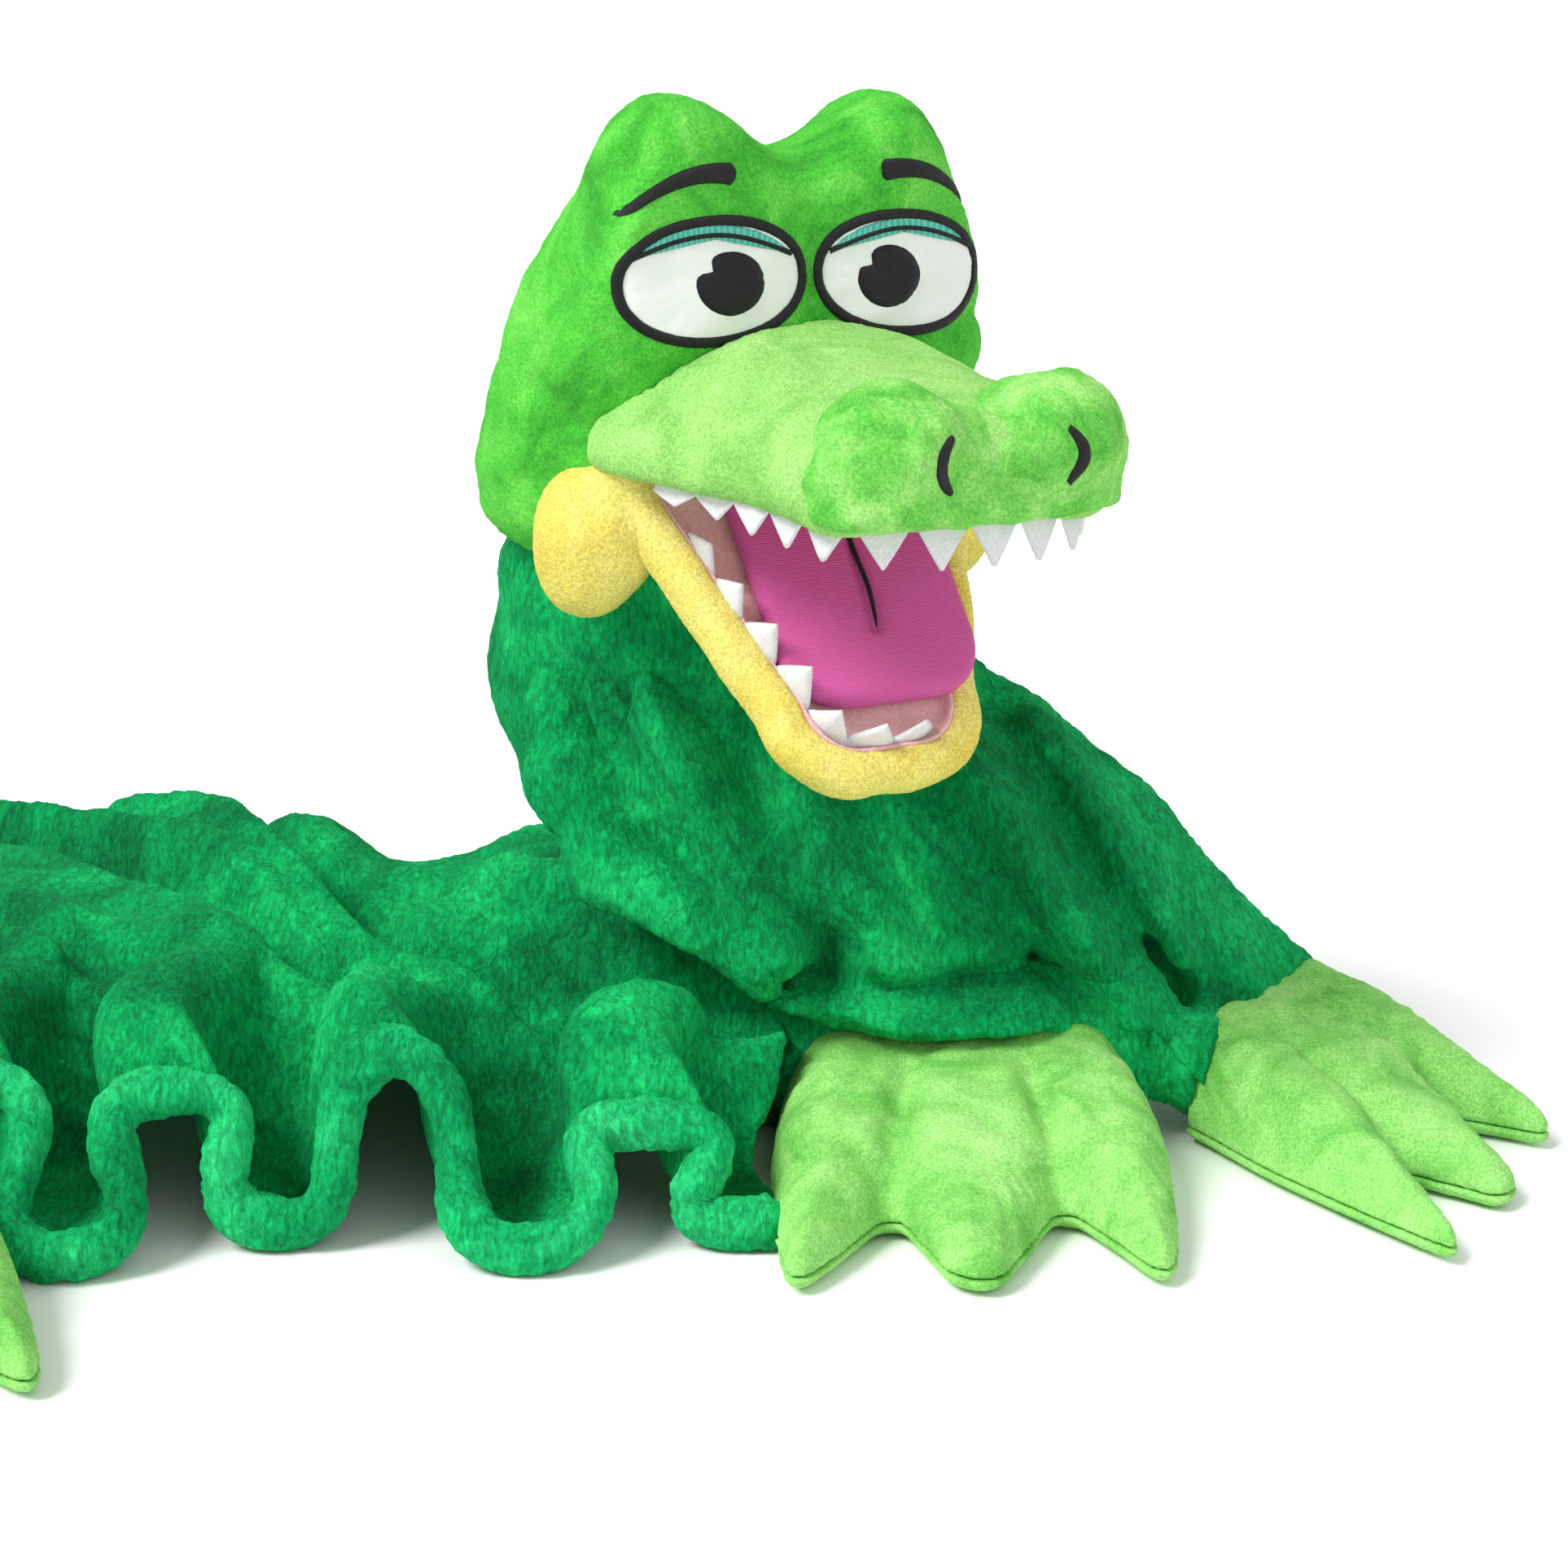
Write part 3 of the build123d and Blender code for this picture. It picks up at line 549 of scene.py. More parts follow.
def strip(name, path, depth, top, up, thick, material, place):
    """A felt strip along path whose free edge is cut to depth(u); closed all round."""
    rows = 7
    count = len(path)
    along = np.gradient(path, axis=0)
    along /= np.linalg.norm(along, axis=1)[:, None]
    out = np.cross(along, up)
    out /= np.linalg.norm(out, axis=1)[:, None]
    verts = []
    for side in (-0.5, 0.5):
        for row in range(rows):
            t = row / (rows - 1)
            drop = depth * t
            lean = out * (side * thick * (1 - 0.35 * t)) + out * (2.0 * t * t)
            verts.append(path + lean + np.outer(top - drop, up))
    verts = np.concatenate(verts)
    faces = []
    sheet = rows * count
    for row in range(rows - 1):
        for i in range(count - 1):
            a = row * count + i
            faces.append((a, a + 1, a + count + 1, a + count))
            b = a + sheet
            faces.append((b, b + count, b + count + 1, b + 1))
    for i in range(count - 1):
        a = i
        faces.append((a, a + sheet, a + sheet + 1, a + 1))
        b = (rows - 1) * count + i
        faces.append((b, b + 1, b + sheet + 1, b + sheet))
    for row in range(rows - 1):
        a = row * count
        faces.append((a, a + count, a + count + sheet, a + sheet))
        b = a + count - 1
        faces.append((b, b + sheet, b + count + sheet, b + count))
    return make(name, place(verts), faces, material)


def resample(points, step):
    """Even steps along a polyline."""
    points = np.asarray(points, float)
    length = np.concatenate([[0], np.cumsum(np.linalg.norm(np.diff(points, axis=0), axis=1))])
    where = np.linspace(0, length[-1], max(3, int(length[-1] / step) + 1))
    return np.stack([np.interp(where, length, points[:, i]) for i in range(points.shape[1])], 1), where


def teeth_edge(where, pitch, gap, sizes):
    """How far the felt reaches along a toothed edge, with tooth lengths taken from sizes."""
    phase = where / pitch
    tooth = np.minimum(phase.astype(int), len(sizes) - 1)
    peak = 1 - np.abs(2 * (phase - tooth) - 1)
    return gap + np.asarray(sizes)[tooth] * np.clip(peak, 0, 1) ** 0.92


def make_teeth():
    inset, felt_thick = 5.0, 2.2
    angle = np.linspace(-pi / 2, pi / 2, 60)
    front = np.stack([np.sin(angle) * (57 - inset), -146 - np.cos(angle) * (31 - inset), angle * 0], 1)
    left = np.array([(-74 + inset, -62, 0), (-64 + inset, -90, 0), (-60 + inset, -118, 0)])
    right = left[::-1] * np.array([-1, 1, 1])
    path, where = resample(np.concatenate([left, front, right]), 0.9)
    count = 15
    pitch = where[-1] / count
    ramp = [5, 8, 11, 13, 15, 17, 18, 18, 18, 17, 15, 13, 11, 8, 5]
    depth = teeth_edge(where, pitch, 5.0, ramp)
    upper = strip("upper_teeth_felt", path, depth, 271.0, Z_DIR, felt_thick, WHITE_FELT, from_head)
    attach(upper, "head", "white_felt", "upper_teeth")
    inner = RIM + 1.6
    turn = np.linspace(-pi / 2 + 0.1, 0.75, 34)
    tip = np.stack([np.sin(turn) * (12 + 34 - inner), 100 + np.cos(turn) * (34 - inner), turn * 0], 1)
    near = np.array([(-(80 - inner) + 9, 26, 0), (-(63 - inner), 60, 0)])
    path, where = resample(np.concatenate([near, tip]), 0.9)
    count = 7
    depth = teeth_edge(where, where[-1] / count, 4.0, [9, 13, 16, 17, 14, 14, 11])
    lower = strip("lower_teeth_felt", path, depth, TRAY + 2.0, Z_DIR, felt_thick, WHITE_FELT,
                  lambda p: from_jaw(p * np.array([1, 1, -1]) + np.array([0, 0, 2 * TRAY + 2])))
    attach(lower, "jaw", "white_felt", "lower_teeth")


# ---- cheeks ----
def cheek_field(hand):
    def field(s, b, z):
        body = ellipsoid(s, b, z, (hand * 79, -26, 243), (21, 20, 29))
        rim = chain(s, b, z, [(hand * 73, -42, 271, 8), (hand * 69, -42, 254, 11),
                              (hand * 70, -38, 240, 10)], 6)
        body = smin(body, rim, 13)
        crease = chain(s, b, z, [(hand * 78, -52, 268, 0), (hand * 75, -54, 250, 0),
                                 (hand * 70, -56, 236, 0)])
        body = body + 4.5 * groove(crease, 3.6)
        return body + 0.7 * wander(s, b, z, 20, 31)
    return field


def make_cheeks():
    for hand, side in ((-1, "right"), (1, "left")):
        cheek = sculpt(side + "_cheek_skin", cheek_field(hand), (min(hand * 52, hand * 104), -60, 212),
                       (max(hand * 52, hand * 104), 4, 284), 1.8, YELLOW, from_head, smooth=4,
                       pile=(2.6, 0.7), levels=1)
        attach(cheek, "head", "jaw_plush", side + "_cheek", fill=0.5)


# ---- face ----
class Face:
    """Finds the plush surface in front of a point across and up the face."""

    def __init__(self, *things):
        self.trees = []
        for thing in things:
            verts = [v.co.copy() for v in thing.data.vertices]
            faces = [tuple(p.vertices) for p in thing.data.polygons]
            self.trees.append(BVHTree.FromPolygons(verts, faces))

    def depth(self, s, z, start=-260.0):
        origin = Vector(from_head(np.array([s, start, z])) * MM)
        best = None
        for tree in self.trees:
            hit = tree.ray_cast(origin, Vector(B_DIR))
            if hit[0] is not None and (best is None or hit[3] < best):
                best = hit[3]
        return start + best / MM if best is not None else -50.0


def band(name, face, points, widths, rise, material, closed=True):
    """A raised band of satin stitch laid along points on the face."""
    points = np.asarray(points, float)
    count = len(points)
    if closed:
        tangent = np.roll(points, -1, 0) - np.roll(points, 1, 0)
    else:
        tangent = np.gradient(points, axis=0)
    tangent /= np.linalg.norm(tangent, axis=1)[:, None]
    normal = np.stack([-tangent[:, 1], tangent[:, 0]], 1)
    across = 9
    verts = []
    for k in range(across):
        u = -1 + 2 * k / (across - 1)
        flat = points + normal * (u * widths / 2)[:, None]
        depth = np.array([face.depth(s, z) for s, z in flat])
        lift = rise * np.sqrt(max(0.0, 1 - u * u)) + 0.25
        verts.append(np.stack([flat[:, 0], depth - lift, flat[:, 1]], 1))
    for k in (across - 1, 0):
        v = verts[k].copy()
        v[:, 1] += 2.0
        verts.append(v)
    rows = len(verts)
    verts = np.concatenate(verts)
    faces = []
    last = count if closed else count - 1
    for k in range(rows):
        for i in range(last):
            j = (i + 1) % count
            k2 = (k + 1) % rows
            faces.append((k * count + i, k * count + j, k2 * count + j, k2 * count + i))
    if not closed:
        faces.append(tuple(k * count for k in range(rows)))
        faces.append(tuple(k * count + count - 1 for k in reversed(range(rows))))
    return make(name, from_head(verts), faces, material)


def patch(name, face, outline, lift, material, rings=10, thick=1.4):
    """A flat sewn patch that follows the face inside an outline, with a rounded edge."""
    outline = np.asarray(outline, float)
    count = len(outline)
    centre = outline.mean(0)
    verts = []
    for ring in range(rings, 0, -1):
        t = ring / rings
        flat = centre + (outline - centre) * t
        depth = np.array([face.depth(s, z) for s, z in flat])
        edge = lift if ring < rings else lift * 0.4
        verts.append(np.stack([flat[:, 0], depth - edge, flat[:, 1]], 1))
    back = verts[0].copy()
    back[:, 1] += thick
    verts = [back] + verts
    rows = len(verts)
    middle = np.array([[centre[0], face.depth(*centre) - lift, centre[1]]])
    rear = np.array([[centre[0], face.depth(*centre) + thick, centre[1]]])
    verts = np.concatenate(verts + [middle, rear])
    faces = []
    for k in range(rows - 1):
        for i in range(count):
            j = (i + 1) % count
            faces.append((k * count + i, k * count + j, (k + 1) * count + j, (k + 1) * count + i))
    for i in range(count):
        j = (i + 1) % count
        faces.append(((rows - 1) * count + i, (rows - 1) * count + j, rows * count))
        faces.append((i, rows * count + 1, j))
    return make(name, from_head(verts), faces, material)


def oval(middle, half_w, half_h, count=96, tilt=0.0):
    a = np.linspace(0, 2 * pi, count, endpoint=False)
    x = np.sign(np.cos(a)) * np.abs(np.cos(a)) ** 0.95 * half_w
    y = np.sign(np.sin(a)) * np.abs(np.sin(a)) ** 0.95 * half_h
    return np.stack([middle[0] + x * cos(tilt) - y * sin(tilt), middle[1] + x * sin(tilt) + y * cos(tilt)], 1)


def make_eyes(face):
    for hand, side in ((-1, "right"), (1, "left")):
        middle = (hand * 40.5, 338)
        tilt = radians(3) * -hand
        rim = oval(middle, 37, 21.5, tilt=tilt)
        white = patch(side + "_eye_felt", face, rim, 0.5, EYE_FELT)
        outline = band(side + "_eye_stitch", face, rim, np.full(len(rim), 4.0), 1.1, BLACK_THREAD)
        # the lid: the part of the eye above a shallow arc
        a = np.linspace(pi - 0.46, 0.46, 40)
        top = np.stack([middle[0] + np.cos(a) * 35.5, middle[1] + np.sin(a) * 20.2], 1)
        low_z = np.linspace(top[-1, 1], top[0, 1], 40) + 7.5 * np.sin(np.linspace(0, pi, 40))
        low = np.stack([np.linspace(top[-1, 0], top[0, 0], 40), low_z], 1)
        lid = patch(side + "_eyelid_stitch", face, np.concatenate([top, low[1:-1]]), 1.0, LID_THREAD)
        line = band(side + "_lid_line", face, low, np.full(40, 2.2), 1.3, BLACK_THREAD, closed=False)
        b = np.linspace(0, 2 * pi, 48, endpoint=False)
        look = (middle[0] - hand * 6.5, 337.0)
        reach = np.full(48, 1.0)
        notch = np.exp(-((b - 2.5) / 0.24) ** 2)
        reach = reach - 0.34 * notch
        disc = np.stack([look[0] + np.cos(b) * 14 * reach, look[1] + np.sin(b) * 11.5 * reach], 1)
        pupil = patch(side + "_pupil_stitch", face, disc, 1.3, BLACK_THREAD, rings=5)
        x = np.linspace(0, 1, 30)
        brow_s = hand * (31 + 43 * x)
        brow_z = 375.5 + 3.5 * np.sin(x * pi * 0.62) - 17.0 * x ** 2.1
        wide = 7.2 * (1 - x) ** 0.55 + 0.8
        wide[0] = 4.5
        brow = band(side + "_eyebrow_stitch", face, np.stack([brow_s, brow_z], 1), wide, 1.0, BLACK_THREAD,
                    closed=False)
        for piece, node, slot in ((white, "_eye_white", "white_felt"),
                                  (outline, "_eye_outline", "black_thread"),
                                  (lid, "_eyelid", "lid_thread"), (pupil, "_pupil", "black_thread"),
                                  (brow, "_eyebrow", "black_thread")):
            attach(piece, "head", slot, side + node)
        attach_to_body(line, "head")


def make_nostrils(face):
    for hand, side in ((-1, "right"), (1, "left")):
        t = np.linspace(-1, 1, 24)
        s = hand * (24 + 5.0 * (1 - t ** 2))
        z = 286 + 9.5 * t
        wide = 4.2 * np.sqrt(1 - (0.92 * t) ** 2) + 0.6
        nostril = band(side + "_nostril_stitch", face, np.stack([s, z], 1), wide, 0.9, BLACK_THREAD,
                       closed=False)
        attach(nostril, "head", "black_thread", side + "_nostril")


# ---- neck and cloak ----
CLOTH = 8.0              # thickness of the cloth with its pile on both faces
FLEECE_PILE = (4.2, 2.6) # size and height of the cloak's nap
ARM_HOLE = (36.7, 7.1, 49.5)     # middle and radius of the tube that covers the arm lining


def neck_field(x, y, z):
    body = chain(x, y, z, [(18, 34, 116, 54), (14, 28, 160, 58), (14, 22, 186, 62), (22, 12, 215, 60),
                           (40, -2, 248, 54)], 20)
    ripple = np.sin((z + 0.35 * x - 0.2 * y) / 9.0)
    body = body + 1.6 * ripple * np.clip((236 - z) / 40, 0, 1) + 1.6 * wander(x, y, z, 38, 41)
    body = smax(body, 118 - z, 4)
    return smax(smax(body, z - 256, 4), -(body + 6), 2)


def cloak_mass(x, y, z, spread=1.0):
    """The outside of the cloak and both arms, as one draped surface; spread widens its folds."""
    body = chain(x, y, z, [(45, 50, 5, 88), (46, 40, 80, 72), (46, 26, 150, 56), (44, 8, 206, 44)], 24)
    cape = chain(x, y, z, [(8, -4, 190, 24), (34, -26, 152, 32), (72, -38, 105, 38), (112, -38, 62, 34)], 20)
    chest = chain(x, y, z, [(58, -6, 198, 22), (104, -4, 156, 30), (132, -18, 106, 36), (146, -26, 60, 32)],
                  20)
    body = smin(smin(body, cape, 22), chest, 22)
    outer = chain(x, y, z, [(118, 20, 172, 22), (200, 26, 100, 24), (276, 40, 30, 19)], 20)
    inner = chain(x, y, z, [(124, -6, 144, 22), (180, -28, 84, 23), (229, -44, 27, 18)], 20)
    between = chain(x, y, z, [(150, 0, 140, 24), (252, 0, 30, 21)], 20)
    body = smin(smin(smin(body, outer, 26), inner, 22), between, 24)
    for limb in ([(66, 6, 50, 24), (79, -36, 28, 20), (80, -60, 26, 18)],
                 [(104, 6, 52, 26), (116, -36, 30, 24), (116, -60, 27, 21)],
                 [(140, 6, 46, 26), (152, -36, 30, 23), (152, -60, 27, 21)],
                 [(172, 0, 40, 24), (188, -38, 26, 19), (189, -60, 24, 17)]):
        body = smin(body, chain(x, y, z, limb, 12), 15)
    roll = chain(x, y, z, [(-14, -12, 192, 15), (-20, -26, 170, 15), (-18, -38, 142, 16), (-2, -52, 114, 16),
                           (28, -64, 94, 16), (62, -70, 78, 14)], 8)
    body = smin(body, roll, 9)
    hollow = ellipsoid(x, y, z, (-8, -58, 64), (64, 36, 32))
    body = smax(body, -hollow, 9)
    arm = np.sqrt((x - ARM_HOLE[0]) ** 2 + (y - ARM_HOLE[1]) ** 2)
    # folds are drawn on the front, in the plane across and up
    front = np.clip((34 - y) / 40, 0, 1)
    for depth, width, points in (
            (20.0, 11, [(30, 209), (38, 181), (54, 139), (84, 82)]),
            (6.0, 7, [(2, 190), (10, 160), (30, 124), (58, 92)]),
            (-11.0, 11, [(8, 200), (14, 170), (34, 132), (66, 88)]),
            (-10.0, 8, [(118, 172), (146, 140), (172, 98), (204, 48)]),
            (10.0, 8, [(110, 158), (134, 124), (156, 88), (180, 54)]),
            (10.0, 9, [(138, 178), (164, 142), (190, 100), (222, 52)]),
            (-5.0, 10, [(166, 160), (196, 118), (224, 74)]),
            (6.0, 8, [(92, 140), (110, 108), (128, 82)]),
            (10.0, 6, [(66, 72), (112, 66), (160, 70)]),
            (-7.0, 7, [(72, 62), (120, 55), (178, 52)])):
        line = chain(x, 0.0 * y, z, [(px, 0, pz, 0) for px, pz in points])
        body = body + depth * groove(line, width * (spread if depth > 0 else 1)) * front
    body = smin(body, smax(arm - ARM_HOLE[2], z - 192, 6), 5)
    return body + 1.5 * wander(x, y, z, 46, 51) + 0.6 * wander(x, y, z, 19, 52)


FAR_CUFF = np.array([260.6, 0.0])
FAR_WAY = np.array([sin(radians(60)), -cos(radians(60))])
TUCK = 2.4               # how far a panel sinks beneath the one sewn over it
NEAR_ROOT = -6.0         # the near arm is its own panel in front of this, low down


def near_side(x, y, z):
    """Negative inside the near arm's panel."""
    return smax(smax(y - NEAR_ROOT + 0.2 * (z - 30), z - 66 - 0.03 * (x - 60), 3),
                np.maximum(x - 208, 58 - x), 3)


def far_side(x, y, z):
    """Negative inside the far arm's panel, which starts at a seam running down from the chest."""
    return 0.74 * (150 - x) + 0.67 * (112 - z)


def draped(part):
    def field(x, y, z):
        body = cloak_mass(x, y, z)
        near, far = near_side(x, y, z), far_side(x, y, z)
        # each panel runs on a little way beneath the one sewn over it
        beyond = np.maximum(-near, -far) if part == "cloak" else -near
        tuck = 0.0 if part == "near" else TUCK * np.clip((beyond + 2) / 4, 0, 1)
        shell = smax(body + tuck, -(cloak_mass(x, y, z, 1.6) + tuck + CLOTH), 1.5)
        over_paw = np.maximum(np.maximum(y + 58, z - 50), x - 207)
        piece = np.maximum(np.maximum(shell, -over_paw), 1.0 - z)
        if part == "near":
            return np.maximum(piece, near)
        if part == "far":
            end = (x - FAR_CUFF[0]) * FAR_WAY[0] + (y - FAR_CUFF[1]) * FAR_WAY[1] - 3
            return np.maximum(np.maximum(np.maximum(piece, far), -near - 6), end)
        return np.maximum(np.maximum(np.maximum(piece, -near - 6), -far - 6), z - 214)
    return field


def make_cloak():
    neck = sculpt("neck_skin", neck_field, (-62, -62, 114), (104, 102, 264), 2.4, FLEECE, smooth=4,
                  pile=(3.6, 1.4))
    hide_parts("neck_cover")
    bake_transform(neck)
    cloak = sculpt("cloak_skin", draped("cloak"), (-66, -100, 0), (222, 146, 216), 2.1, FLEECE, smooth=4,
                   pile=FLEECE_PILE)
    attach(cloak, "body", "cloak_fleece", "cloak")
    near = sculpt("near_sleeve_skin", draped("near"), (54, -100, 0), (216, 12, 72), 2.0, FLEECE, smooth=3,
                  pile=FLEECE_PILE)
    far = sculpt("far_sleeve_skin", draped("far"), (90, -92, 0), (312, 92, 214), 2.2, FLEECE, smooth=4,
                 pile=FLEECE_PILE)
    for piece, node, flat in ((near, "near_arm_sleeve", (0.25, 0.08)), (far, "far_arm_sleeve", (0.25, 0.22))):
        attach(piece, "body", "cloak_fleece", node)


# ---- blanket ----
WAVE_X = [-372, -335, -298, -262, -224, -188, -154, -114, -75, -27, 21, 52, 110]
FAR_WAVE_X = [-360, -318, -276, -236, -190, -150, -104, -60, -12, 30, 80]


def curve_through(points, count):
    """A smooth line through a few points, evenly spaced."""
    points = np.asarray(points, float)
    padded = np.concatenate([points[:1] * 2 - points[1:2], points, points[-1:] * 2 - points[-2:-1]])
    line = []
    for i in range(1, len(padded) - 2):
        t = np.linspace(0, 1, 24, endpoint=False)[:, None]
        a, b, c, d = padded[i - 1:i + 3]
        line.append(0.5 * (2 * b + (c - a) * t + (2 * a - 5 * b + 4 * c - d) * t ** 2
                           + (3 * b - a - 3 * c + d) * t ** 3))
    line = np.concatenate(line + [points[-1:]])
    length = np.concatenate([[0], np.cumsum(np.linalg.norm(np.diff(line, axis=0), axis=1))])
    where = np.linspace(0, length[-1], count)
    return np.stack([np.interp(where, length, line[:, k]) for k in range(line.shape[1])], 1)


ARCH_Z = [57, 57, 60, 56, 72, 43, 50]                # height of the hem over each flute
LOBE_Y = [-182, -178, -190, -160, -184, -160]        # how far out the hem runs between flutes
NEAR_LOW = [(60, 105), (10, 98), (-40, 88), (-74, 80), (-94, 62), (-106, 36), (-122, 17), (-150, 10),
            (-182, 9)]
NEAR_HIGH = [(60, 105), (10, 100), (-40, 93), (-84, 91), (-110, 92), (-130, 88), (-142, 78), (-147, 67),
             (-148, 57)]
FAR_LOW = [(60, 105), (84, 98), (104, 78), (122, 48), (138, 22), (152, 11), (164, 9)]
FAR_HIGH = [(60, 105), (86, 100), (108, 86), (124, 66), (136, 48), (144, 38), (150, 33)]


def blanket_grid():
    """Rows of points from the near hem over the crest to the far hem, one row for each place along X."""
    base = np.arange(-346.0, 62.1, 2.4 * FINE)
    near_wave = np.interp(base, WAVE_X, np.arange(len(WAVE_X)) * pi)
    far_wave = np.interp(base, FAR_WAVE_X, np.arange(len(FAR_WAVE_X)) * pi)
    # odd counts of half waves are the places where the hem runs out along the floor
    near_up = (1 + np.cos(near_wave)) / 2
    far_up = (1 + np.cos(far_wave)) / 2
    near_low, near_high = curve_through(NEAR_LOW, 112), curve_through(NEAR_HIGH, 112)
    far_low, far_high = curve_through(FAR_LOW, 62), curve_through(FAR_HIGH, 62)
    crest = np.interp(base, [-346, -276, -200, -162, -128, -99, -70, -45, 0, 60],
                      [86, 96, 99, 110, 100, 82, 84, 98, 99, 90]) / 105
    shrink = np.clip((base + 352) / 64.0, 0, 1)
    ramp = np.sqrt(1 - (1 - shrink) ** 2)
    arch_z = np.interp(base, WAVE_X[::2], ARCH_Z)
    lobe_y = np.interp(base, WAVE_X[1::2], LOBE_Y)
    sway = 1 + 0.45 * np.sin(base / 31.0 + 1)
    rows = []
    for i, x0 in enumerate(base):
        near = near_low * (1 - near_up[i]) + near_high * near_up[i]
        share = np.linspace(0, 1, len(near))[:, None] ** 3
        near = near + share * np.array([(lobe_y[i] + 182) * (1 - near_up[i]), (arch_z[i] - 57) * near_up[i]])
        far = far_low * (1 - far_up[i]) + far_high * far_up[i]
        line = np.concatenate([near[::-1], far[1:]])
        hem = np.concatenate([np.linspace(1, 0, len(near)) ** 1.5, np.linspace(0, 1, len(far) - 1) ** 2.0])
        over = np.concatenate([np.full(len(near), np.sin(2 * near_wave[i])),
                               np.full(len(far) - 1, 0.6 * np.sin(2 * far_wave[i]))])
        y, z = line[:, 0], line[:, 1]
        # the corners at the left end are rounded in plan
        y = y * (1 - 0.12 * (1 - ramp[i]))
        z = 9 + (z - 9) * (crest[i] + (1 - crest[i]) * hem) * (0.16 + 0.84 * ramp[i])
        share = np.linspace(1, 0, len(near))
        drift = np.concatenate([-15 * np.exp(-((share - 0.8) / 0.11) ** 2), np.zeros(len(far) - 1)])
        rows.append(np.stack([x0 + 8.5 * sway[i] * over * hem + drift, y, z], 1))
    grid = np.array(rows)
    x, y = grid[..., 0], grid[..., 1]
    flat = np.zeros_like(x)
    lift = np.zeros_like(x)
    for height, width, points in (
            (13, 8, [(-330, 120), (-284, 100), (-194, 36), (-140, -24), (-100, -83)]),
            (-20, 9, [(-330, 100), (-240, 56), (-176, 4), (-124, -54), (-80, -92)]),
            (13, 9, [(-220, 84), (-184, 56), (-131, -4), (-96, -50), (-44, -88)]),
            (-21, 10, [(-170, 84), (-130, 28), (-92, -24), (-52, -64), (-10, -84)]),
            (9, 11, [(-90, 34), (-50, 12), (-10, -4), (30, -14)]),
            (-42, 25, [(-56, -48), (-20, -54), (50, -56)]),
            (12, 6, [(-48, -60), (-16, -50), (16, -56)]),
            (6, 10, [(-346, 60), (-290, 10), (-226, -34), (-168, -62)]),
            (-7, 8, [(-330, 20), (-262, -30), (-214, -60), (-170, -84)]),
            (6, 7, [(-262, -50), (-226, -66), (-196, -92)]),
            (-5, 6, [(-248, -72), (-214, -88), (-186, -100)]),
            (5, 8, [(-150, -60), (-120, -78), (-96, -98)]),
            (-6, 16, [(-110, 96), (-84, 60), (-70, 30)])):
        line = chain(x, y, flat, [(px, py, 0, 0) for px, py in points])
        lift += height * groove(line, width)
    inner = np.clip((np.minimum(y + 132, 150 - y)) / 26, 0, 1) * np.clip((x + 346) / 40, 0, 1)
    grid[..., 2] += lift * inner + 0.9 * inner * wander(x, y, flat, 44, 61)
    grid[..., 2] = np.maximum(grid[..., 2], 8.2)
    return grid


def closed_sheet(name, grid, thick, material):
    """Two skins over a grid of points, joined round the edge."""
    du = np.gradient(grid, axis=0)
    dv = np.gradient(grid, axis=1)
    normal = np.cross(du, dv)
    normal /= np.linalg.norm(normal, axis=2)[..., None] + 1e-9
    if normal[..., 2].mean() < 0:
        normal = -normal
    rows, cols = grid.shape[:2]
    verts = np.concatenate([grid.reshape(-1, 3), (grid - normal * thick).reshape(-1, 3)])
    index = np.arange(rows * cols).reshape(rows, cols)
    top = np.stack([index[:-1, :-1], index[1:, :-1], index[1:, 1:], index[:-1, 1:]], -1).reshape(-1, 4)
    faces = [top, top[:, ::-1] + rows * cols]
    rim = np.concatenate([index[0, :], index[1:, -1], index[-1, -2::-1], index[-2:0:-1, 0]])
    after = np.roll(rim, -1)
    faces.append(np.stack([rim, rim + rows * cols, after + rows * cols, after], 1)[:, ::-1])
    return make(name, verts, np.concatenate(faces), material)


def hem_tube(name, path, wide, high, material, floor=1.2):
    """A soft roll of cloth along path: the turned-up edge."""
    count, around = len(path), 18
    along = np.gradient(path, axis=0)
    along /= np.linalg.norm(along, axis=1)[:, None]
    side = np.cross(along, np.array([0, 0, 1.0]))
    side /= np.linalg.norm(side, axis=1)[:, None] + 1e-9
    up = np.cross(side, along)
    angle = np.linspace(0, 2 * pi, around, endpoint=False)
    swell = 1 + 0.10 * np.sin(np.arange(count) / 7.0) + 0.06 * np.sin(np.arange(count) / 3.1)
    taper = np.sqrt(np.clip(np.minimum(np.arange(count), np.arange(count)[::-1]) / 5.0, 0.05, 1))
    ring = (np.cos(angle)[None, :, None] * side[:, None] * wide
            + np.sin(angle)[None, :, None] * up[:, None] * high) * (swell * taper)[:, None, None]
    verts = (path[:, None] + ring).reshape(-1, 3)
    if floor is not None:
        verts[:, 2] = np.maximum(verts[:, 2], floor)
    index = np.arange(count * around).reshape(count, around)
    after = np.roll(index, -1, 1)
    faces = np.stack([index[:-1], after[:-1], after[1:], index[1:]], -1).reshape(-1, 4).tolist()
    faces.append(index[0].tolist())
    faces.append(index[-1][::-1].tolist())
    return make(name, verts, faces, material)


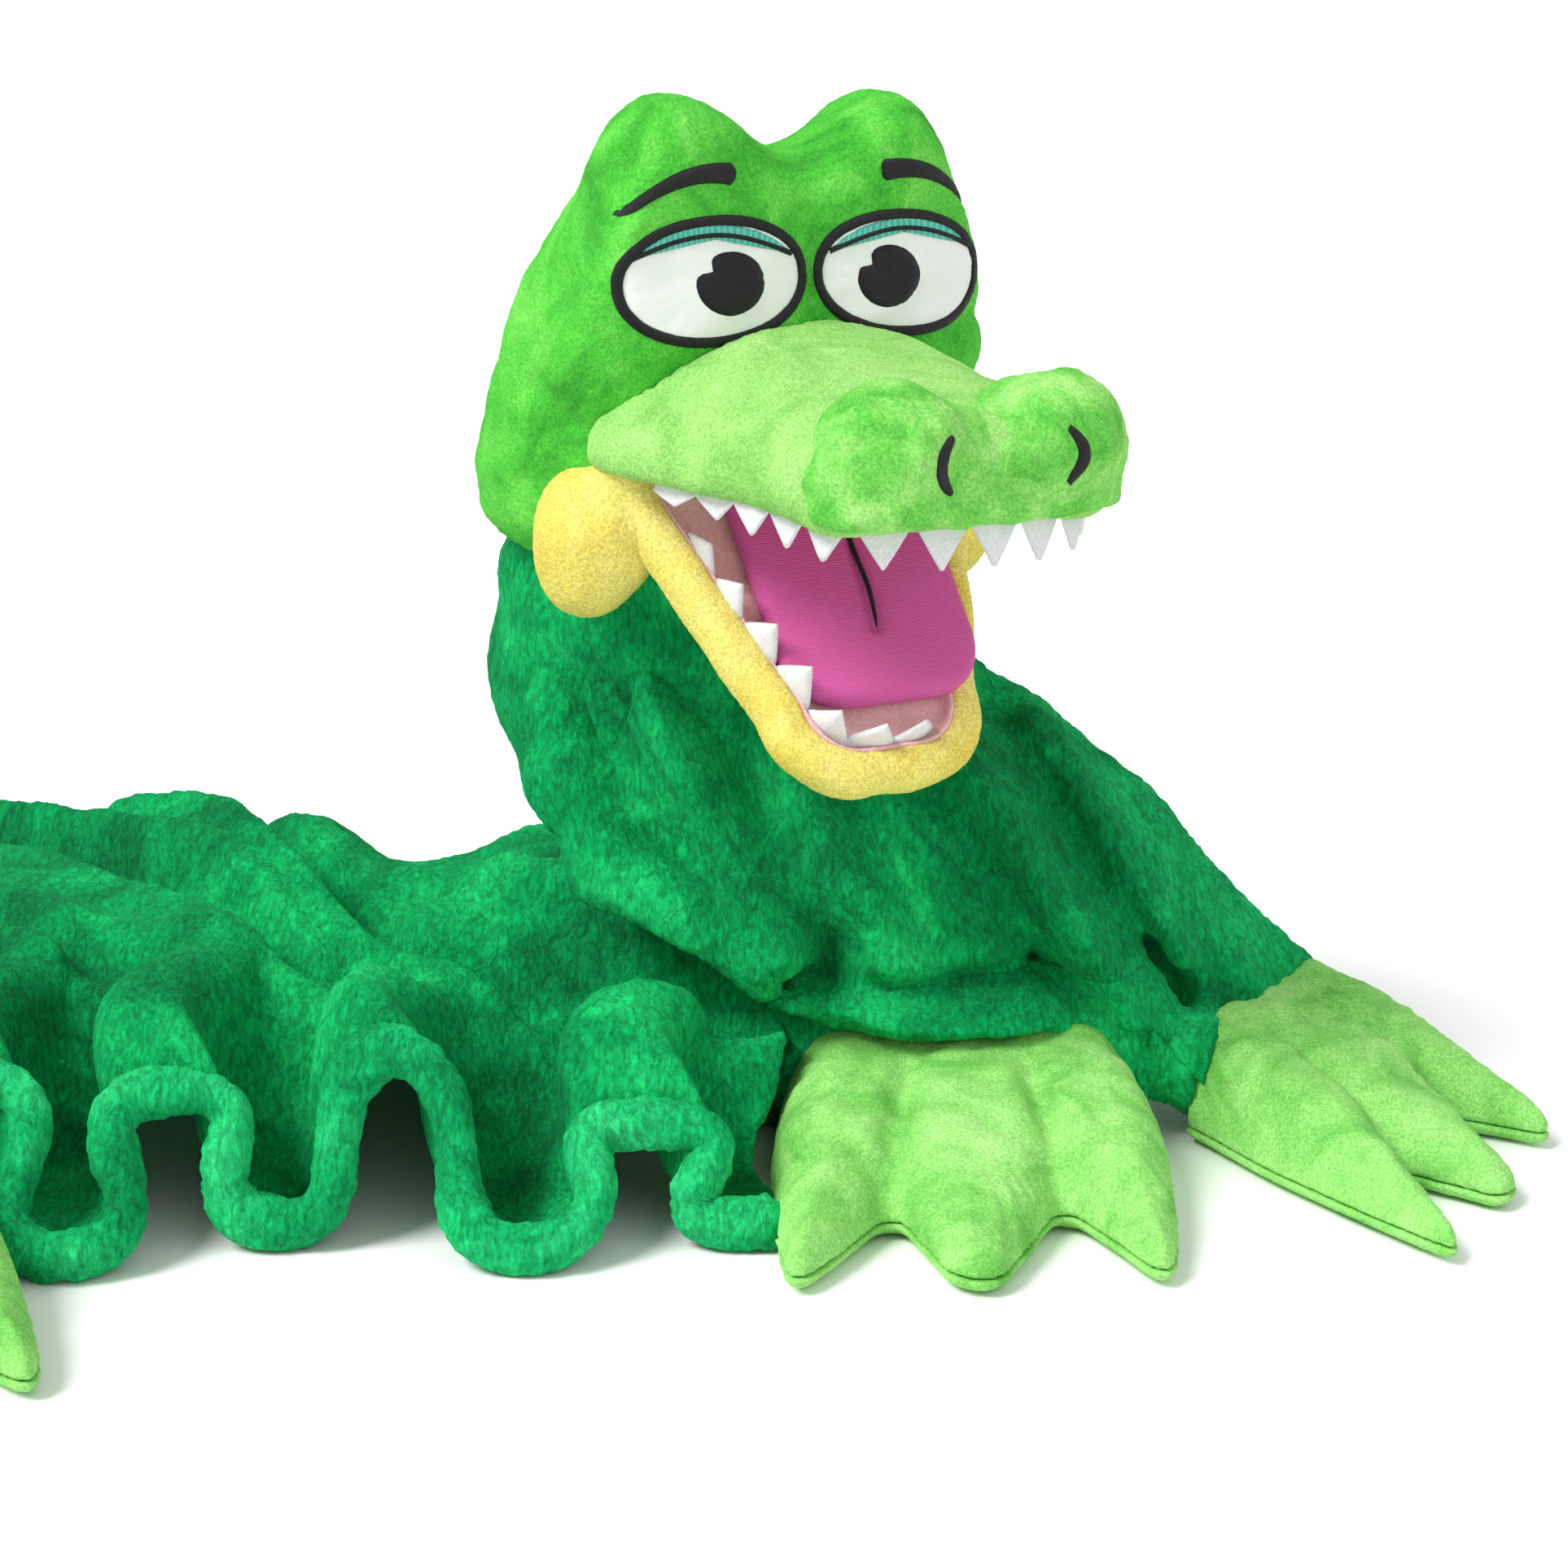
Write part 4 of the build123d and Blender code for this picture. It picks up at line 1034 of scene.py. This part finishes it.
def make_blanket():
    grid = blanket_grid()
    blanket = closed_sheet("blanket_skin", grid, 4.5, FLEECE)
    soften(blanket, 6)
    nap(blanket, 4.2, 2.4)
    settle(blanket)
    attach(blanket, "body", "cloak_fleece", "blanket")
    edge = np.concatenate([grid[::-1, 0], grid[0, 1:-1], grid[:, -1]])
    path, _ = resample(edge, 2.0)
    for _ in range(6):
        path[1:-1] = (path[:-2] + 2 * path[1:-1] + path[2:]) / 4
    path[:, 2] = np.maximum(path[:, 2], 9.4)
    # the roll takes the lighter copy of the fleece, which is painted light
    hem = hem_tube("hem_ruffle_roll", path, 8.0, 9.4, LIT_HEM_FLEECE)
    nap(hem, 4.6, 3.2)
    settle(hem)
    attach(hem, "body", "cloak_fleece", "hem_ruffle", fill=0.3)


# ---- paws ----
PAW_SHAPE = [(-1, -0.25), (-1, 0), (-1.06, 0.35), (-1, 0.9), (-0.88, 0.965), (-0.72, 0.86), (-0.44, 0.64),
             (-0.28, 0.8),
             (-0.16, 0.95), (0.08, 0.97), (0.26, 0.8), (0.46, 0.6), (0.66, 0.74), (0.86, 0.925), (1, 0.84),
             (1.08, 0.35), (1, 0), (1, -0.25)]
PAW_HALF, PAW_SEAM = 70.0, 7.0


def loop_distance(x, y, loop):
    """Signed distance in the plane to a closed outline, negative inside."""
    best = np.full(np.broadcast(x, y).shape, 1e9)
    inside = np.zeros(best.shape, bool)
    for a, b in zip(loop, np.roll(loop, -1, 0)):
        ab = b - a
        t = np.clip(((x - a[0]) * ab[0] + (y - a[1]) * ab[1]) / (ab.dot(ab) + 1e-9), 0, 1)
        best = np.minimum(best, (x - a[0] - t * ab[0]) ** 2 + (y - a[1] - t * ab[1]) ** 2)
        if a[1] != b[1]:
            cross = (y >= min(a[1], b[1])) & (y < max(a[1], b[1]))
            inside ^= cross & (x < a[0] + (y - a[1]) * ab[0] / ab[1])
    return np.where(inside, -1, 1) * np.sqrt(best)


def paw_fields(length, lean, hand, seed):
    """The upper and sole of a paw in its own frame: across, ahead of the cuff, and up."""
    points = np.array([(hand * PAW_HALF * u + lean * length * v, length * v) for u, v in PAW_SHAPE])
    loop = curve_through(points, 150)
    webs = [(hand * PAW_HALF * u + lean * length * 0.6, length * v) for u, v in ((-0.44, 0.64), (0.46, 0.6))]
    roots = [(hand * PAW_HALF * u + lean * length * 0.16, length * 0.12) for u in (-0.3, 0.34)]

    def shape(p, q):
        d = loop_distance(p[..., 0], q[..., 0], loop)[..., None]
        inner = np.clip(-d / 23.0, 0, 1)
        crown = np.sqrt(1 - (1 - inner) ** 2)
        high = np.interp(q, [-20, 0, 0.4 * length, 0.7 * length, 1.0 * length], [49, 48, 40, 29, 20])
        top = PAW_SEAM + (high - PAW_SEAM) * crown
        for web, root in zip(webs, roots):
            crease = chain(p, q, 0.0, [(*root, 0, 0), (*web, 0, 0)])
            fade = np.clip(q / (0.3 * length), 0, 1)
            top = top - 9.0 * groove(crease, 6.5) * fade * crown
        # puckers where the seam is drawn in
        pucker = np.sin(np.arctan2(q - 0.5 * length, p) * 34 + seed) * np.exp(-((d + 9) / 8.0) ** 2)
        top = top + 0.9 * pucker + (1.3 * wander(p, q, 0.0, 30, seed) + 0.8 * wander(p, q, 0.0, 13,
                                                                                     seed + 1)) * crown
        return d, np.maximum(top, PAW_SEAM + 1.0)

    def upper(p, q, z):
        d, top = shape(p, q)
        return np.maximum(np.maximum(smax((z - top) * 0.6, d + 0.3, 2.5), PAW_SEAM + 0.1 - z), -5 - q)

    def sole(p, q, z):
        d, _ = shape(p, q)
        under = 1.0 + 4.4 * np.clip(1 + d / 8.0, 0, 1) ** 2
        return np.maximum(np.maximum(np.maximum(d, z - PAW_SEAM + 0.1), (under - z) * 0.8), -5 - q)
    return upper, sole


def make_paws():
    for count, (name, cuff, angle, length, lean, hand) in enumerate((
            ("near_front_paw", (134.0, -55.0), 0, 155.0, 0.0, 1),
            ("far_front_paw", (260.6, 0.0), 60, 130.0, -0.54, 1),
            ("near_hind_paw", (-294.0, -184.0), 25, 155.0, 0.0, 1),
            ("far_hind_paw", (-294.0, 184.0), 155, 155.0, 0.0, -1))):
        turn = radians(angle)
        across = np.array([cos(turn), sin(turn), 0])
        ahead = np.array([sin(turn), -cos(turn), 0])
        centre = np.array([*cuff, 0.0])

        def place(p, across=across, ahead=ahead, centre=centre):
            return centre + p[..., :1] * across + p[..., 1:2] * ahead + p[..., 2:3] * np.array([0, 0, 1.0])

        upper, sole = paw_fields(length, lean, hand, 71 + count)
        reach = sorted((-84 + lean * length * 1.02, 84))
        low, high = (min(-84, reach[0]), -8, 0), (84, length + 6, 54)
        top = sculpt(name + "_skin", upper, low, high, 1.7, PAW_PLUSH, place, smooth=4, pile=(2.8, 0.9))
        under = sculpt(name + "_sole_skin", sole, low, (high[0], high[1], 10), 1.7, PAW_PLUSH, place,
                       smooth=1,
                       pile=(2.8, 0.5))
        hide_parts(name + "_top", name + "_stuffing")
        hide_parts(name + "_sole")
        for piece in (top, under):
            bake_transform(piece)


def leg_field(hand, angle):
    turn = radians(angle)
    cuff = np.array([-294.0, hand * 184.0])
    ahead = np.array([sin(turn), -cos(turn)])
    across = np.array([cos(turn), sin(turn)])

    def field(x, y, z):
        body = None
        for u, r in ((-50, 18), (-18, 23), (18, 23), (50, 18)):
            end = cuff + across * u
            back = end - ahead * 30
            root = np.array([-262 + 0.81 * u, hand * 92.0])
            limb = chain(x, y, z, [(*root, 34, r), (*back, 28, r), (*end, 26, r)], 12)
            body = limb if body is None else smin(body, limb, 13)
        ahead_of = (x - cuff[0]) * ahead[0] + (y - cuff[1]) * ahead[1]
        body = body + 3.0 * np.sin(ahead_of / 7.0) * np.clip((-ahead_of - 8) / 20, 0, 1) * 0.6
        body = body + 1.5 * wander(x, y, z, 36, 91)
        return np.maximum(np.maximum(smax(body, -(body + CLOTH), 1.5), ahead_of - 3), 1.0 - z)
    return field


def make_legs():
    for side, hand, angle in (("near", -1, 25), ("far", 1, 155)):
        low = (-362, -212 if hand < 0 else 70, 0)
        high = (-196, -70 if hand < 0 else 212, 66)
        leg = sculpt(side + "_leg_skin", leg_field(hand, angle), low, high, 2.2, FLEECE, smooth=3,
                     pile=(4.0, 1.8))
        attach(leg, "body", "cloak_fleece", side + "_leg_sleeve")


# ---- stage, light and camera ----
def make_stage():
    floor_material, _, _ = new_material("pale_floor", Base_Color=(0.97, 0.97, 0.97, 1), Roughness=0.9)
    mesh = bpy.data.meshes.new("floor")
    size = 6.0
    mesh.from_pydata([(-size, -size, 0), (size, -size, 0), (size, size, 0), (-size, size, 0)], [],
                     [(0, 1, 2, 3)])
    mesh.materials.append(floor_material)
    floor = bpy.data.objects.new("floor", mesh)
    bpy.context.collection.objects.link(floor)
    world = bpy.data.worlds.new("studio")
    world.use_nodes = True
    tree = world.node_tree
    sky = tree.nodes["Background"]
    sky.inputs["Color"].default_value = (1, 1, 1, 1)
    sky.inputs["Strength"].default_value = 0.5
    # the camera sees plain white behind the floor; the light on the object stays soft
    behind = tree.nodes.new("ShaderNodeBackground")
    behind.inputs["Color"].default_value = (1, 1, 1, 1)
    seen = tree.nodes.new("ShaderNodeLightPath")
    choose = tree.nodes.new("ShaderNodeMixShader")
    tree.links.new(seen.outputs["Is Camera Ray"], choose.inputs["Fac"])
    tree.links.new(sky.outputs["Background"], choose.inputs[1])
    tree.links.new(behind.outputs["Background"], choose.inputs[2])
    tree.links.new(choose.outputs["Shader"], tree.nodes["World Output"].inputs["Surface"])
    bpy.context.scene.world = world
    for name, way, power, spread in (("key", (-0.7, -0.45, 0.9), 2.8, 26),
                                     ("fill", (0.8, -0.9, 0.7), 0.5, 60)):
        lamp = bpy.data.lights.new(name, "SUN")
        lamp.energy = power
        lamp.angle = radians(spread)
        light = bpy.data.objects.new(name, lamp)
        light.location = way
        light.rotation_euler = Vector(way).to_track_quat("Z", "Y").to_euler()
        bpy.context.collection.objects.link(light)


def make_camera():
    camera = bpy.data.objects.new("camera", bpy.data.cameras.new("camera"))
    camera.location = (0.065, -1.185, 0.428)
    camera.rotation_euler = (radians(76), 0, 0)
    camera.data.lens = 70
    camera.data.sensor_width = 36
    bpy.context.collection.objects.link(camera)
    bpy.context.scene.camera = camera


def finish_cad_nodes():
    """Linings, boards and other CAD pieces that stay get their own cloth or card."""
    stays = {name: LINING_CLOTH for name in ("finger_pocket", "head_lining", "thumb_pocket", "arm_lining",
                                             "neck_lining")}
    stays.update(lower_mouth_board=BOARD, mouth_fold=MOUTH_SATIN)
    for name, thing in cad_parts.items():
        if name in stays:
            thing.data.materials.clear()
            thing.data.materials.append(stays[name])


make_camera()
make_stage()
head = make_head()
nose = make_snout()
make_eyes(Face(head))
make_nostrils(Face(nose))
make_cheeks()
make_jaw()
make_upper_lining()
make_tongue()
make_teeth()
make_cloak()
make_blanket()
make_legs()
make_paws()
finish_cad_nodes()
bpy.context.scene.view_settings.view_transform = "Standard"
bpy.context.scene.view_settings.exposure = 0.22
